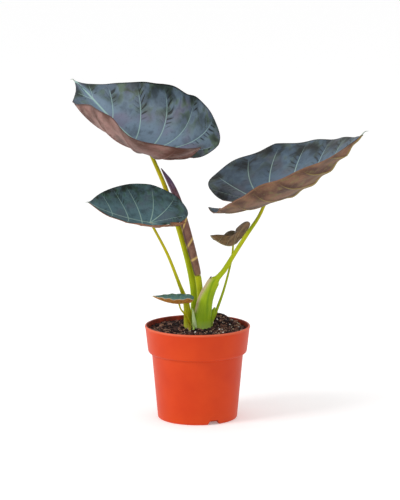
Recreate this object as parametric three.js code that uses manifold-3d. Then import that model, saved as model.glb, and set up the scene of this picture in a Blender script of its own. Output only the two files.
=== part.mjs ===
// A potted alocasia of the cultivar Regal Shields: five leaves and one rolled new leaf on a corm,
// standing in potting mix in a 4-inch nursery pot. Millimetres, +Z up.
// The origin is on the pot's axis, on the surface it stands on. -Y is the front, +X the right.
import * as THREE from "three";
import { mergeVertices } from "three/addons/utils/BufferGeometryUtils.js";
import Module from "manifold-3d";

const wasm = await Module();
wasm.setup();

const RADIANS = Math.PI / 180;
const CLEARANCE = 0.35; // between touching pieces

// The pot
const POT_SIDES = 54;
const RIM_RADIUS = 52.5;
const POT_HEIGHT = 94;
const WALL = 1.3;
const COLLAR_LOW_RADIUS = 49.4;
const COLLAR_LOW_Z = 67.5;
const BODY_TOP_RADIUS = 45.8;
const BODY_TOP_Z = 66;
const FOOT_RADIUS = 39.8;
const FOOT_RING_INNER = 35.5;
const CENTRE_PAD_RADIUS = 20;
const CHANNEL_HEIGHT = 1.8; // of the drainage channel under the floor
const FLOOR_TOP = 3.2;
const DRAIN_COUNT = 3;
const DRAIN_FIRST_ANGLE = 24.2; // from the front towards +X
const DRAIN_BOTTOM_WIDTH = 13;
const DRAIN_TOP_WIDTH = 7.4;
const DRAIN_HEIGHT = 4.4;

// The potting mix
const SOIL_GAP = 0.4; // to the pot's wall
const SOIL_LEVEL = 88.5;
const SOIL_RINGS = 8;
const SOIL_SIDES = 36;
const CHIP_COUNT = 26;
const STEM_HOLE_GROWTH = 0.9; // of the stems' outline, so that the holes run together

// The corm and its roots
const CORM_CENTRE = new THREE.Vector3(1.5, 1.5, 66.5);
const CORM_RADIUS = 12.5;
const CORM_HALF_HEIGHT = 12.5;
const ROOT_COUNT = 8;
const ROOT_RADIUS = 1.5;
const ROOT_REACH = 25;
const ROOT_SIDES = 5;

// The blades. A flat half blade is drawn at unit length from the stem's joint to the tip,
// with u along the midrib and v across it.
const BLADE_THICKNESS = 0.7;
const RIB_SCALE_LENGTH = 130; // of the blade that the depths of ribs and waves are given for
const MIDRIB_DEPTH = 2.1; // at the joint
const MIDRIB_TIP_DEPTH = 0.6;
const VEIN_JOIN = 0.15; // share of the side veins over which they run together at the joint
const PILLOW_FROM = 0.4; // share of the side veins from which the blade rises fully between them
const JOINT_SHARE = 0.08; // of the length: round the stem's joint the faces are offset alike
const STEM_END_BLOCK = 12; // side of the block that trims a stem's end
const HALF_WIDTH = 0.575;
const NOTCH = -0.17; // where the gap between the two lobes ends
const HALF_OUTLINE = [
  [NOTCH, 0],
  [-0.27, 0.035],
  [-0.42, 0.12],
  [-0.53, 0.25],
  [-0.53, 0.38],
  [-0.42, 0.49],
  [-0.22, 0.56],
  [0, HALF_WIDTH],
  [0.22, 0.535],
  [0.45, 0.43],
  [0.66, 0.29],
  [0.82, 0.155],
  [0.92, 0.06],
  [1, 0],
];

// Each leaf: at is where its stem joins it, heading, rise and roll turn the whole blade, arch and
// droop bend its midrib, lobeArch its lobes, and twist turns it about the midrib. In each half,
// lift is the slope beside the midrib, with its change to the tip and to the lobe, cup the
// further bend out to the margin, and curl the bend of the lobe past the notch. taper narrows
// the half to its tip, and lobeNarrow its lobe.
// Angles are in degrees, and bends are for one length.
const BLADES = {
  upper_left: {
    length: 139.4,
    at: [-48.8, -0.3, 270.9],
    heading: 134.8,
    rise: 16.6,
    roll: -38.9,
    arch: 43.7,
    droop: -34.5,
    lobeArch: 80.5,
    twist: -18.3,
    left: {
      lift: -43.2, liftTip: -18.9, liftLobe: -38.9, cup: 77.9, cupTip: 118.6,
      cupLobe: -1.8, curl: 70.7, taper: 0.44, lobeNarrow: 0.4,
    },
    right: {
      lift: 49.2, liftTip: 21.8, liftLobe: -49.3, cup: 93.6, cupTip: 11.7,
      cupLobe: 25.2, curl: -1.8, taper: 0.63, lobeNarrow: -0.39,
    },
    width: 0.941,
    lobe: 0.905,
    veinStart: 0.62,
    veinSpread: 1.71,
    veinBend: 0.16,
    veins: [0.1, 0.2, 0.302, 0.457, 0.618, 0.745, 0.857, 0.935],
    wave: 1,
    columns: 6,
  },
  right: {
    length: 142.2,
    at: [66.8, 0.2, 217.6],
    heading: -21.7,
    rise: 14.5,
    roll: -37,
    arch: 75.6,
    droop: -40,
    lobeArch: 39,
    twist: 3.1,
    left: {
      lift: -4.6, liftTip: -18, liftLobe: -6.1, cup: 8.2, cupTip: 8.9,
      cupLobe: -4.7, curl: -36, taper: -0.01, lobeNarrow: 0.12,
    },
    right: {
      lift: 27.8, liftTip: 3.2, liftLobe: 9.1, cup: 31.1, cupTip: 54.8,
      cupLobe: -1.9, curl: 122.6, taper: -0.08, lobeNarrow: 0.05,
    },
    width: 1.044,
    lobe: 0.861,
    veinStart: 0.48,
    veinSpread: 1.04,
    veinBend: 0.2,
    veins: [0.1, 0.18, 0.264, 0.4, 0.516, 0.61, 0.711, 0.8, 0.89],
    wave: 0.8,
    columns: 6,
  },
  middle_left: {
    length: 74.7,
    at: [-46.6, -39.5, 203.3],
    heading: 195,
    rise: 12,
    roll: 59.7,
    arch: 27.5,
    droop: 14.5,
    lobeArch: 5.6,
    twist: -15.1,
    left: {
      lift: 47.1, liftTip: 6.4, liftLobe: 10, cup: 33.9, cupTip: 11.1,
      cupLobe: -5.2, curl: 150, taper: 0.01, lobeNarrow: 0.4,
    },
    right: {
      lift: -15.4, liftTip: -8.3, liftLobe: -1.8, cup: 16.2, cupTip: 0.5,
      cupLobe: 2.5, curl: -22.5, taper: -0.06, lobeNarrow: 0.03,
    },
    width: 1.016,
    lobe: 1.041,
    veinStart: 0.566,
    veinSpread: 1.42,
    veinBend: 0.17,
    veins: [0.1, 0.2, 0.344, 0.498, 0.658, 0.752, 0.85],
    wave: 0.5,
    columns: 5,
  },
  small_right: {
    length: 34.9,
    at: [35.8, 19.1, 171.7],
    heading: 225.5,
    rise: -8.7,
    roll: -5.3,
    arch: 94.8,
    droop: -49.2,
    lobeArch: 40.9,
    twist: 3.9,
    left: {
      lift: 74.9, liftTip: -18.7, liftLobe: 19.3, cup: -25.9, cupTip: -91.3,
      cupLobe: -4.3, curl: -97.7, taper: -0.48, lobeNarrow: -0.78,
    },
    right: {
      lift: 16.4, liftTip: 9.5, liftLobe: 32.1, cup: -2.6, cupTip: 0,
      cupLobe: 1.5, curl: 46.4, taper: 0, lobeNarrow: -0.11,
    },
    width: 0.947,
    lobe: 1.01,
    veinStart: 0.5,
    veinSpread: 1.2,
    veinBend: 0.15,
    veins: [0.15, 0.33, 0.5, 0.68, 0.84],
    wave: 0.5,
    columns: 4,
  },
  small_left: {
    length: 27.1,
    at: [-18.6, -27, 120.8],
    heading: 176.8,
    rise: 1.4,
    roll: -12.1,
    arch: 27.7,
    droop: 0,
    lobeArch: 4.6,
    twist: -2.3,
    left: {
      lift: 13.2, liftTip: 6.6, liftLobe: 14, cup: -3.9, cupTip: 1.4,
      cupLobe: 2, curl: 0, taper: 0, lobeNarrow: 0,
    },
    right: {
      lift: 33.4, liftTip: 9.9, liftLobe: 10.6, cup: 6.6, cupTip: 1,
      cupLobe: 2, curl: 0, taper: 0, lobeNarrow: 0,
    },
    width: 1.01,
    lobe: 1.02,
    veinStart: 0.5,
    veinSpread: 1.2,
    veinBend: 0.15,
    veins: [0.15, 0.33, 0.5, 0.68, 0.84],
    wave: 0.5,
    columns: 4,
  },
};

// Each stem runs through stations of x, y, z, half width, depth of its back and depth of its
// face. A face below zero is the hollow of a sheath, which clasps the stems inside it.
// facing is the way the hollow looks.
const STEM_BOTTOM = 74; // below the corm's crown, which each stem is cut to sit on
const STEM_SIDES = 12;
const SHEATH_EDGE = 0.45; // half the thickness of a sheath's free edge
const STEMS = {
  upper_left: {
    facing: [0.35, -1, 0],
    stations: [
      [-2.6, 9, STEM_BOTTOM, 4.6, 3.2, 1.6],
      [-2.6, 8.6, 95, 4.6, 3.2, 1.4],
      [-2.9, 8.6, 107.3, 3.9, 3, 1.2],
      [-3.9, 8.6, 128.3, 2.9, 2.8, 1.6],
      [-7.9, 8.4, 155.6, 2.8, 2.6, 1.8],
      [-18.8, 7, 194.8, 2.4, 2.3, 1.8],
      [-30.9, 5, 229.7, 2.1, 2.1, 1.7],
      [-39.4, 3, 250, 2, 2, 1.6],
      [-48.5, -0.1, 271.2, 1.75, 1.75, 1.4],
    ],
  },
  right: {
    facing: [-0.1, 1, 0],
    stations: [
      [4, -3.2, STEM_BOTTOM, 9, 6.2, -3.6],
      [4, -3, 95, 9.4, 6.4, -4],
      [5.4, -3.4, 104.4, 8.4, 5.8, -3],
      [8.2, -3.9, 119.7, 7.2, 5, -1.8],
      [12.7, -4.3, 131.1, 6, 4.2, -1],
      [16.6, -4.4, 138.4, 5.4, 3.4, 0.2],
      [19.5, -4.3, 141.7, 3.2, 2.9, 1.2],
      [22.6, -4.2, 145.2, 2.6, 2.7, 1.5],
      [27.4, -4, 151.2, 2.5, 2.4, 1.8],
      [36.9, -3, 166.6, 2.15, 2.1, 1.6],
      [48.2, -2, 184.4, 2, 2, 1.5],
      [60.2, -0.6, 202.2, 1.7, 1.7, 1.3],
      [67.7, 0.2, 218.2, 1.5, 1.5, 1.1],
    ],
  },
  middle_left: {
    facing: [1, 0.2, 0],
    stations: [
      [-9.9, -0.8, STEM_BOTTOM, 3.6, 3.6, 0.6],
      [-9.9, -1, 94, 3.8, 3.8, 0.4],
      [-10.4, -3.2, 107.4, 3.6, 3.3, 0.4],
      [-12.4, -6.8, 120.2, 2.4, 2.4, 1],
      [-18, -14.6, 138, 1.8, 1.8, 1.3],
      [-29.3, -29, 170, 1.45, 1.45, 1],
      [-43.2, -39, 199, 1.25, 1.25, 0.8],
      [-46.4, -39.7, 205, 1.2, 1.2, 0.8],
    ],
  },
  small_right: {
    facing: [-1, 0, 0],
    stations: [
      [13.4, 5.6, STEM_BOTTOM, 2, 2, 0.6],
      [13.4, 5.4, 93, 2, 2, 0.6],
      [18.3, 6.6, 105.8, 1.7, 1.7, 0.8],
      [26.8, 13, 128, 1.1, 1.1, 0.9],
      [33.4, 18.6, 153, 0.95, 0.95, 0.6],
      [35.3, 19.4, 165, 0.95, 0.95, 0.6],
      [35.8, 19.1, 173, 0.9, 0.9, 0.6],
    ],
  },
  small_left: {
    facing: [1, 0, 0],
    stations: [
      [-7.2, -8.6, STEM_BOTTOM, 1.6, 1.6, 0.9],
      [-7.6, -10.2, 94, 1.5, 1.5, 0.9],
      [-9.2, -16, 101.5, 1.2, 1.2, 1],
      [-13.4, -23.4, 110, 0.95, 0.95, 0.9],
      [-16.9, -26.4, 115.4, 0.9, 0.9, 0.85],
      [-18.5, -27, 121.5, 0.9, 0.9, 0.85],
    ],
  },
  rolled_leaf: {
    facing: [-1, 0, 0],
    stations: [
      [3.6, 2.2, STEM_BOTTOM, 3.2, 3.2, 2.9],
      [3.6, 1.6, 95, 3.2, 3.2, 2.9],
      [3.2, 1.2, 115, 3.1, 3.1, 2.9],
      [1.9, 1.1, 134, 3, 3, 2.9],
      [0.6, 1.1, 143.4, 2.9, 2.9, 2.8],
    ],
  },
};

// The rolled new leaf runs on from its stem: stations of x, y, z and radius.
const ROLL_SIDES = 14;
const ROLL_LAP = 0.16; // how much of the radius the overlapping edge stands out
const ROLL_STATIONS = [
  [0.5, 1.1, 144, 2.8],
  [-0.2, 1.1, 148, 3.1],
  [-3.3, 1.5, 163, 3.25],
  [-7.4, 2, 179.2, 3.2],
  [-12.6, 2.5, 198, 3.05],
  [-17.6, 2.8, 214, 3.3],
  [-23.1, 3, 228.2, 3.5],
  [-28.2, 3, 238.6, 2.9],
  [-32.4, 3, 245.4, 1.7],
  [-35.9, 3, 251.2, 0.5],
];

const COLOURS = {
  pot: 0xd24a24,
  soil: 0x352720,
  corm: 0x6b4a32,
  blade: 0x53666a,
  stem: 0x9fae2a,
  roll: 0x6e4c4a,
};

// Numbers from 0 to 1 that are the same in every run.
function randomFrom(seed) {
  let state = seed;
  return () => {
    state = (state * 1664525 + 1013904223) % 4294967296;
    return state / 4294967296;
  };
}

function material(colour, roughness) {
  return new THREE.MeshStandardMaterial({ color: colour, roughness, metalness: 0 });
}

function geometryOf(points, triangles) {
  const geometry = new THREE.BufferGeometry();
  geometry.setAttribute("position", new THREE.Float32BufferAttribute(points.flatMap((p) => p.toArray()), 3));
  geometry.setIndex(triangles);
  return geometry;
}

function solidOf(geometry) {
  const bare = geometry.clone();
  bare.deleteAttribute("normal");
  bare.deleteAttribute("uv");
  const merged = mergeVertices(bare, 1e-4);
  return new wasm.Manifold(
    new wasm.Mesh({
      numProp: 3,
      vertProperties: new Float32Array(merged.attributes.position.array),
      triVerts: new Uint32Array(merged.index.array),
    }),
  );
}

// The largest body of a solid as a geometry, so that scraps of a cut are dropped.
function largestBody(solid) {
  const bodies = solid.decompose().sort((a, b) => b.volume() - a.volume());
  const mesh = bodies[0].getMesh();
  const geometry = new THREE.BufferGeometry();
  geometry.setAttribute("position", new THREE.BufferAttribute(new Float32Array(mesh.vertProperties), 3));
  geometry.setIndex(new THREE.BufferAttribute(new Uint32Array(mesh.triVerts), 1));
  return geometry;
}

// The body between rings of equally many points, with a flat cap on each end.
function loft(rings) {
  const sides = rings[0].length;
  const triangles = [];
  for (let ring = 0; ring < rings.length - 1; ring += 1) {
    for (let k = 0; k < sides; k += 1) {
      const next = (k + 1) % sides;
      const a = ring * sides + k;
      const b = ring * sides + next;
      triangles.push(a, b, b + sides, a, b + sides, a + sides);
    }
  }
  const last = (rings.length - 1) * sides;
  for (const [first, flip] of [[0, true], [last, false]]) {
    for (const [a, b, c] of capOf(rings[first / sides])) {
      triangles.push(first + a, first + (flip ? c : b), first + (flip ? b : c));
    }
  }
  return geometryOf(rings.flat(), triangles);
}

// The triangles of a flat ring, counter-clockwise about the ring's own normal.
function capOf(ring) {
  const centre = ring.reduce((sum, p) => sum.add(p), new THREE.Vector3()).divideScalar(ring.length);
  const normal = new THREE.Vector3();
  ring.forEach((p, k) => {
    const next = ring[(k + 1) % ring.length];
    normal.add(p.clone().sub(centre).cross(next.clone().sub(centre)));
  });
  normal.normalize();
  const across = ring[0].clone().sub(centre).normalize();
  const up = normal.clone().cross(across);
  const flat = ring.map((p) => {
    const arm = p.clone().sub(centre);
    return new THREE.Vector2(arm.dot(across), arm.dot(up));
  });
  return THREE.ShapeUtils.triangulateShape(flat, []);
}

// The pot: a turned shell with a stepped collar, cut by the drain slots in its foot.
function potProfile() {
  const bodyInner = BODY_TOP_RADIUS - WALL;
  const footInner = FOOT_RADIUS - WALL;
  const collarInner = COLLAR_LOW_RADIUS - WALL;
  return [
    [0, 0],
    [CENTRE_PAD_RADIUS, 0],
    [CENTRE_PAD_RADIUS + 1, CHANNEL_HEIGHT],
    [FOOT_RING_INNER - 1, CHANNEL_HEIGHT],
    [FOOT_RING_INNER, 0],
    [FOOT_RADIUS - 1.6, 0],
    [FOOT_RADIUS - 0.4, 0.5],
    [FOOT_RADIUS, 1.8],
    [BODY_TOP_RADIUS, BODY_TOP_Z],
    [COLLAR_LOW_RADIUS - 1.5, BODY_TOP_Z],
    [COLLAR_LOW_RADIUS - 0.4, BODY_TOP_Z + 0.8],
    [COLLAR_LOW_RADIUS, BODY_TOP_Z + 2.6],
    [RIM_RADIUS - 0.7, POT_HEIGHT - 3],
    [RIM_RADIUS, POT_HEIGHT - 2],
    [RIM_RADIUS, POT_HEIGHT - 0.8],
    [RIM_RADIUS - 0.8, POT_HEIGHT],
    [RIM_RADIUS - 1.7, POT_HEIGHT - 0.3],
    [RIM_RADIUS - 2.1, POT_HEIGHT - 1.4],
    [collarInner, COLLAR_LOW_Z + 2],
    [bodyInner, COLLAR_LOW_Z],
    [footInner, FLOOR_TOP + 0.6],
    [footInner - 0.6, FLOOR_TOP],
    [0, FLOOR_TOP],
  ];
}

function drainSlot(angle) {
  const outline = new THREE.Shape([
    new THREE.Vector2(-DRAIN_BOTTOM_WIDTH / 2 - 0.6, -1),
    new THREE.Vector2(DRAIN_BOTTOM_WIDTH / 2 + 0.6, -1),
    new THREE.Vector2(DRAIN_TOP_WIDTH / 2, DRAIN_HEIGHT),
    new THREE.Vector2(-DRAIN_TOP_WIDTH / 2, DRAIN_HEIGHT),
  ]);
  const slot = new THREE.ExtrudeGeometry(outline, { depth: 8, bevelEnabled: false });
  slot.rotateX(90 * RADIANS);
  slot.translate(0, -FOOT_RING_INNER + 1, 0);
  slot.rotateZ(angle * RADIANS);
  return solidOf(slot);
}

function makePot() {
  const profile = potProfile().map(([r, z]) => new THREE.Vector2(r, z));
  const shell = new THREE.LatheGeometry(profile, POT_SIDES);
  shell.rotateX(90 * RADIANS);
  let pot = solidOf(shell);
  for (let k = 0; k < DRAIN_COUNT; k += 1) {
    pot = pot.subtract(drainSlot(DRAIN_FIRST_ANGLE + (360 * k) / DRAIN_COUNT));
  }
  return new THREE.Mesh(largestBody(pot), material(COLOURS.pot, 0.4));
}

// The outline of a half blade as a smooth curve through its points, by share of its length.
const outlineCurve = new THREE.CatmullRomCurve3(
  HALF_OUTLINE.map(([u, v]) => new THREE.Vector3(u, v, 0)),
  false,
  "catmullrom",
  0.5,
);
outlineCurve.arcLengthDivisions = 400;

function marginPoint(leaf, half, m) {
  const point = outlineCurve.getPointAt(THREE.MathUtils.clamp(m, 0, 1));
  const toTip = 1 - half.taper * Math.max(0, point.x) ** 3;
  const toLobe = 1 - half.lobeNarrow * Math.max(0, -point.x);
  const u = point.x < 0 ? point.x * leaf.lobe : point.x;
  return [u, Math.max(0, point.y) * leaf.width * toTip * toLobe];
}

// The flat point at share j along the side vein that meets the margin at share m.
function flatPoint(leaf, half, m, j) {
  const [endU, endV] = marginPoint(leaf, half, m);
  const along = THREE.MathUtils.clamp((m - leaf.veinStart) / (1 - leaf.veinStart), 0, 1);
  const startU = along ** leaf.veinSpread;
  const fade = THREE.MathUtils.clamp((m - 0.15) / 0.25, 0, 1) * THREE.MathUtils.clamp((1 - m) / 0.15, 0, 1);
  const bend = leaf.veinBend * fade * Math.hypot(endU - startU, endV);
  const middleU = (startU + endU) / 2 - bend;
  const middleV = endV / 2;
  const k = 1 - j;
  return [k * k * startU + 2 * j * k * middleU + j * j * endU, 2 * j * k * middleV + j * j * endV];
}

// Mean cosine and sine over an arc that starts at an angle and bends on from it.
function arcMean(start, bend) {
  const half = bend / 2;
  const chord = Math.abs(half) < 1e-6 ? 1 : Math.sin(half) / half;
  return [chord * Math.cos(start + half), chord * Math.sin(start + half)];
}

// The midrib's point and slope at u, and past the notch those of the lobe of one half.
function midribAt(leaf, half, u) {
  const slope = (s) => {
    if (s >= 0) {
      return (leaf.arch * s + leaf.droop * s * s) * RADIANS;
    }
    return (leaf.lobeArch * s - half.curl * Math.max(0, NOTCH - s)) * RADIANS;
  };
  const steps = 24;
  let x = 0;
  let z = 0;
  for (let k = 0; k < steps; k += 1) {
    const s = (u * (k + 0.5)) / steps;
    x += (Math.cos(slope(s)) * u) / steps;
    z += (Math.sin(slope(s)) * u) / steps;
  }
  return [x, z, slope(u)];
}

// The bent blade's point for a flat point, in the blade's own frame: +X to the tip, +Z up.
function bladePoint(leaf, side, u, v) {
  const half = side > 0 ? leaf.left : leaf.right;
  const [x, z, slope] = midribAt(leaf, half, u);
  const twist = leaf.twist * u * RADIANS;
  const toLobe = Math.max(0, -u);
  const toTip = Math.max(0, u);
  const lift = (half.lift + half.liftTip * toTip + half.liftLobe * toLobe) * RADIANS;
  const cup = (half.cup + half.cupTip * toTip + half.cupLobe * toLobe) * RADIANS;
  const [across, up] = arcMean(lift, (cup * v) / HALF_WIDTH);
  const lateral = side * across * v * Math.cos(twist) - up * v * Math.sin(twist);
  const rise = side * across * v * Math.sin(twist) + up * v * Math.cos(twist);
  const point = new THREE.Vector3(x - rise * Math.sin(slope), lateral, z + rise * Math.cos(slope));
  return point.multiplyScalar(leaf.length);
}

// The shares of the margin where rows of the mesh meet it: at each vein, close on both sides
// of it, and halfway to the next. ridge is how much of the vein's relief a row carries, and
// pillow how much the blade rises there between two veins.
function veinRows(leaf) {
  const beside = 0.014;
  const rows = [{ m: 0, ridge: 0.6, pillow: 0 }];
  let previous = 0;
  for (const m of [...leaf.veins, 1]) {
    rows.push({ m: (previous + m) / 2, ridge: 0, pillow: 1 });
    if (m < 1) {
      rows.push({ m: m - beside, ridge: 0.05, pillow: 0.15 });
      rows.push({ m, ridge: 1, pillow: 0 });
      rows.push({ m: m + beside, ridge: 0.05, pillow: 0.15 });
    }
    previous = m;
  }
  rows.push({ m: 1, ridge: 0, pillow: 0 });
  return rows;
}

// The middle surface of a blade: its points, how far its underside stands out at each, and its
// triangles. The two halves share the midrib, the notch edge and the tip.
function bladeSheet(leaf) {
  const rows = veinRows(leaf);
  const columns = [0, 0.045];
  for (let k = 1; k <= leaf.columns; k += 1) {
    columns.push((k / leaf.columns) ** 0.9);
  }
  const size = leaf.length / RIB_SCALE_LENGTH;
  const points = [];
  const ribs = [];
  const lifts = [];
  const known = new Map();
  const margins = [];
  const triangles = [];

  const vertex = (side, row, j) => {
    const [u, v] = flatPoint(leaf, side > 0 ? leaf.left : leaf.right, row.m, j);
    const key = v < 1e-6 ? u.toFixed(6) : side + "," + u.toFixed(6) + "," + v.toFixed(6);
    if (!known.has(key)) {
      known.set(key, points.length);
      points.push(bladePoint(leaf, side, u, v));
      const atJoint = THREE.MathUtils.clamp((leaf.veinStart - row.m) / VEIN_JOIN, 0, 1);
      const ridge = THREE.MathUtils.lerp(row.ridge, 1, atJoint * Math.max(0, 1 - j / VEIN_JOIN));
      const vein = ridge * (0.25 + 0.85 * (1 - j) ** 1.5) * size;
      const thinning = (1 - Math.max(0, u)) ** 1.3;
      const midrib = j === 0 ? THREE.MathUtils.lerp(MIDRIB_TIP_DEPTH, MIDRIB_DEPTH, thinning) * size : 0;
      ribs.push(Math.max(vein, midrib));
      const between = row.pillow * Math.min(1, j / PILLOW_FROM) ** 2;
      const pillow = between * 1.6 * Math.sin(Math.PI * Math.min(1, j)) ** 0.6;
      const ripple = 1.5 * j ** 4 * Math.sin(row.m * 41) * Math.min(1, 3.5 * (1 - row.m));
      lifts.push((pillow + ripple) * leaf.wave * size);
    }
    return known.get(key);
  };

  const add = (side, a, b, c) => {
    if (a !== b && b !== c && a !== c) {
      triangles.push(...(side > 0 ? [a, b, c] : [a, c, b]));
    }
  };
  for (const side of [1, -1]) {
    const grid = rows.map((row) => columns.map((j) => vertex(side, row, j)));
    for (let r = 0; r < rows.length - 1; r += 1) {
      for (let c = 0; c < columns.length - 1; c += 1) {
        add(side, grid[r][c], grid[r + 1][c], grid[r + 1][c + 1]);
        add(side, grid[r][c], grid[r + 1][c + 1], grid[r][c + 1]);
      }
    }
    margins.push(grid.map((row) => row[columns.length - 1]));
  }
  const joint = known.get((0).toFixed(6));
  const margin = [...margins[0], ...margins[1].slice(1, -1).reverse()];
  return { points, ribs, lifts, triangles, joint, margin };
}

function normalsOf(points, triangles) {
  const geometry = geometryOf(points, triangles);
  geometry.computeVertexNormals();
  const normals = geometry.getAttribute("normal");
  return points.map((_, k) => new THREE.Vector3().fromBufferAttribute(normals, k));
}

// A blade of real thickness: both faces have the same triangles, and the margin joins them.
function bladeGeometry(leaf) {
  const sheet = bladeSheet(leaf);
  const flatNormals = normalsOf(sheet.points, sheet.triangles);
  const middle = sheet.points.map((p, k) => p.clone().addScaledVector(flatNormals[k], sheet.lifts[k]));
  const normals = normalsOf(middle, sheet.triangles);
  const atJoint = normals[sheet.joint].clone();
  const jointReach = JOINT_SHARE * leaf.length;
  normals.forEach((normal, k) => {
    normal.lerp(atJoint, Math.max(0, 1 - middle[k].length() / jointReach)).normalize();
  });
  const reach = BLADE_THICKNESS / 2;
  const top = middle.map((p, k) => p.clone().addScaledVector(normals[k], reach));
  const bottom = middle.map((p, k) => p.clone().addScaledVector(normals[k], -reach - sheet.ribs[k]));
  const count = middle.length;
  const triangles = [...sheet.triangles];
  for (let k = 0; k < sheet.triangles.length; k += 3) {
    const [a, b, c] = sheet.triangles.slice(k, k + 3);
    triangles.push(count + a, count + c, count + b);
  }
  sheet.margin.forEach((a, k) => {
    const b = sheet.margin[(k + 1) % sheet.margin.length];
    triangles.push(a, b, count + b, a, count + b, count + a);
  });
  return geometryOf([...top, ...bottom], triangles);
}

function placeOf(leaf) {
  const turn = new THREE.Euler(-leaf.roll * RADIANS, -leaf.rise * RADIANS, leaf.heading * RADIANS, "ZYX");
  return { position: new THREE.Vector3(...leaf.at), turn };
}

function makeBlade(leaf) {
  const mesh = new THREE.Mesh(bladeGeometry(leaf), material(COLOURS.blade, 0.45));
  const { position, turn } = placeOf(leaf);
  mesh.position.copy(position);
  mesh.rotation.copy(turn);
  return mesh;
}

// The block that trims a stem's end: its base lies just under the midrib, square to the fold.
function stemEndBlock(leaf) {
  const left = leaf.left.lift * RADIANS;
  const right = leaf.right.lift * RADIANS;
  const up = new THREE.Vector3(0, Math.sin(right) - Math.sin(left), Math.cos(left) + Math.cos(right));
  const depth = BLADE_THICKNESS / 2 + CLEARANCE + (MIDRIB_DEPTH * leaf.length) / RIB_SCALE_LENGTH;
  const block = new THREE.BoxGeometry(STEM_END_BLOCK, STEM_END_BLOCK, STEM_END_BLOCK);
  block.translate(0, 0, STEM_END_BLOCK / 2 - depth);
  block.applyQuaternion(new THREE.Quaternion().setFromUnitVectors(new THREE.Vector3(0, 0, 1), up.normalize()));
  const { position, turn } = placeOf(leaf);
  block.applyMatrix4(new THREE.Matrix4().makeRotationFromEuler(turn).setPosition(position));
  return solidOf(block);
}

// One ring of a stem: a round back, and a face that is round or hollow.
function stemRing(centre, tangent, facing, [halfWidth, back, face], growth) {
  const inward = facing.clone().addScaledVector(tangent, -facing.dot(tangent)).normalize();
  const across = inward.clone().cross(tangent);
  const width = (halfWidth + growth) / Math.cos(Math.PI / STEM_SIDES);
  const ring = [];
  for (let k = 0; k < STEM_SIDES; k += 1) {
    const angle = ((k + 0.5) * 2 * Math.PI) / STEM_SIDES;
    const sine = Math.sin(angle);
    const depth = sine > 0 ? face * sine + SHEATH_EDGE + growth : back * sine - growth;
    const point = centre.clone().addScaledVector(across, width * Math.cos(angle));
    ring.push(point.addScaledVector(inward, depth));
  }
  return ring;
}

function stemGeometry({ facing, stations }, growth) {
  const path = new THREE.CatmullRomCurve3(
    stations.map(([x, y, z]) => new THREE.Vector3(x, y, z)),
    false,
    "catmullrom",
    0.5,
  );
  const sections = new THREE.CatmullRomCurve3(
    stations.map(([, , , width, back, face]) => new THREE.Vector3(width, back, face)),
    false,
    "catmullrom",
    0.5,
  );
  const look = new THREE.Vector3(...facing).normalize();
  const steps = (stations.length - 1) * 2;
  const rings = [];
  for (let k = 0; k <= steps; k += 1) {
    const centre = path.getPoint(k / steps);
    const tangent = path.getTangent(k / steps);
    if (k === 0) {
      centre.addScaledVector(tangent, -growth);
    }
    rings.push(stemRing(centre, tangent, look, sections.getPoint(k / steps).toArray(), growth));
  }
  return loft(rings);
}

// The rolled new leaf: a slim spindle whose outer edge laps over in a slow spiral.
function rollGeometry() {
  const path = new THREE.CatmullRomCurve3(ROLL_STATIONS.map(([x, y, z]) => new THREE.Vector3(x, y, z)));
  const steps = (ROLL_STATIONS.length - 1) * 2;
  const rings = [];
  for (let k = 0; k <= steps; k += 1) {
    const share = k / steps;
    const centre = path.getPoint(share);
    const tangent = path.getTangent(share);
    const across = new THREE.Vector3(0, 1, 0).cross(tangent).normalize();
    const inward = tangent.clone().cross(across);
    const index = Math.min(ROLL_STATIONS.length - 2, Math.floor(k / 2));
    const radius = THREE.MathUtils.lerp(ROLL_STATIONS[index][3], ROLL_STATIONS[index + 1][3], k / 2 - index);
    const seam = (200 + 70 * share) * RADIANS;
    const ring = [];
    for (let side = 0; side < ROLL_SIDES; side += 1) {
      const turn = side / (ROLL_SIDES - 1);
      const angle = seam + turn * 2 * Math.PI - 0.04;
      const reach = radius * (1 - ROLL_LAP * turn);
      const point = centre.clone().addScaledVector(across, reach * Math.cos(angle));
      ring.push(point.addScaledVector(inward, reach * Math.sin(angle)));
    }
    rings.push(ring);
  }
  return loft(rings);
}

// The corm: a ringed barrel under the stems, with tapering roots that spread down from it.
function cormRoot(index, growth) {
  const random = randomFrom(index + 11);
  const turn = (index + 0.4 * random()) * (360 / ROOT_COUNT) * RADIANS;
  const out = new THREE.Vector3(Math.cos(turn), Math.sin(turn), 0);
  const drop = 24 + 22 * random();
  const start = CORM_CENTRE.clone().addScaledVector(out, CORM_RADIUS * 0.4);
  start.z -= 4;
  const elbow = start.clone().addScaledVector(out, ROOT_REACH * 0.55);
  elbow.z -= drop * 0.3;
  const end = start.clone().addScaledVector(out, ROOT_REACH);
  end.z -= drop;
  const path = new THREE.CatmullRomCurve3([start, elbow, end]);
  const rings = [];
  const steps = 4;
  for (let k = 0; k <= steps; k += 1) {
    const centre = path.getPoint(k / steps);
    const tangent = path.getTangent(k / steps);
    if (k === steps) {
      centre.addScaledVector(tangent, growth);
    }
    const across = new THREE.Vector3(0, 0, 1).cross(tangent).normalize();
    const up = tangent.clone().cross(across);
    const radius = ROOT_RADIUS * (1 - 0.7 * (k / steps)) + growth;
    const ring = [];
    for (let side = 0; side < ROOT_SIDES; side += 1) {
      const angle = (side * 2 * Math.PI) / ROOT_SIDES;
      const point = centre.clone().addScaledVector(across, radius * Math.cos(angle));
      ring.push(point.addScaledVector(up, radius * Math.sin(angle)));
    }
    rings.push(ring);
  }
  return solidOf(loft(rings));
}

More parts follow.
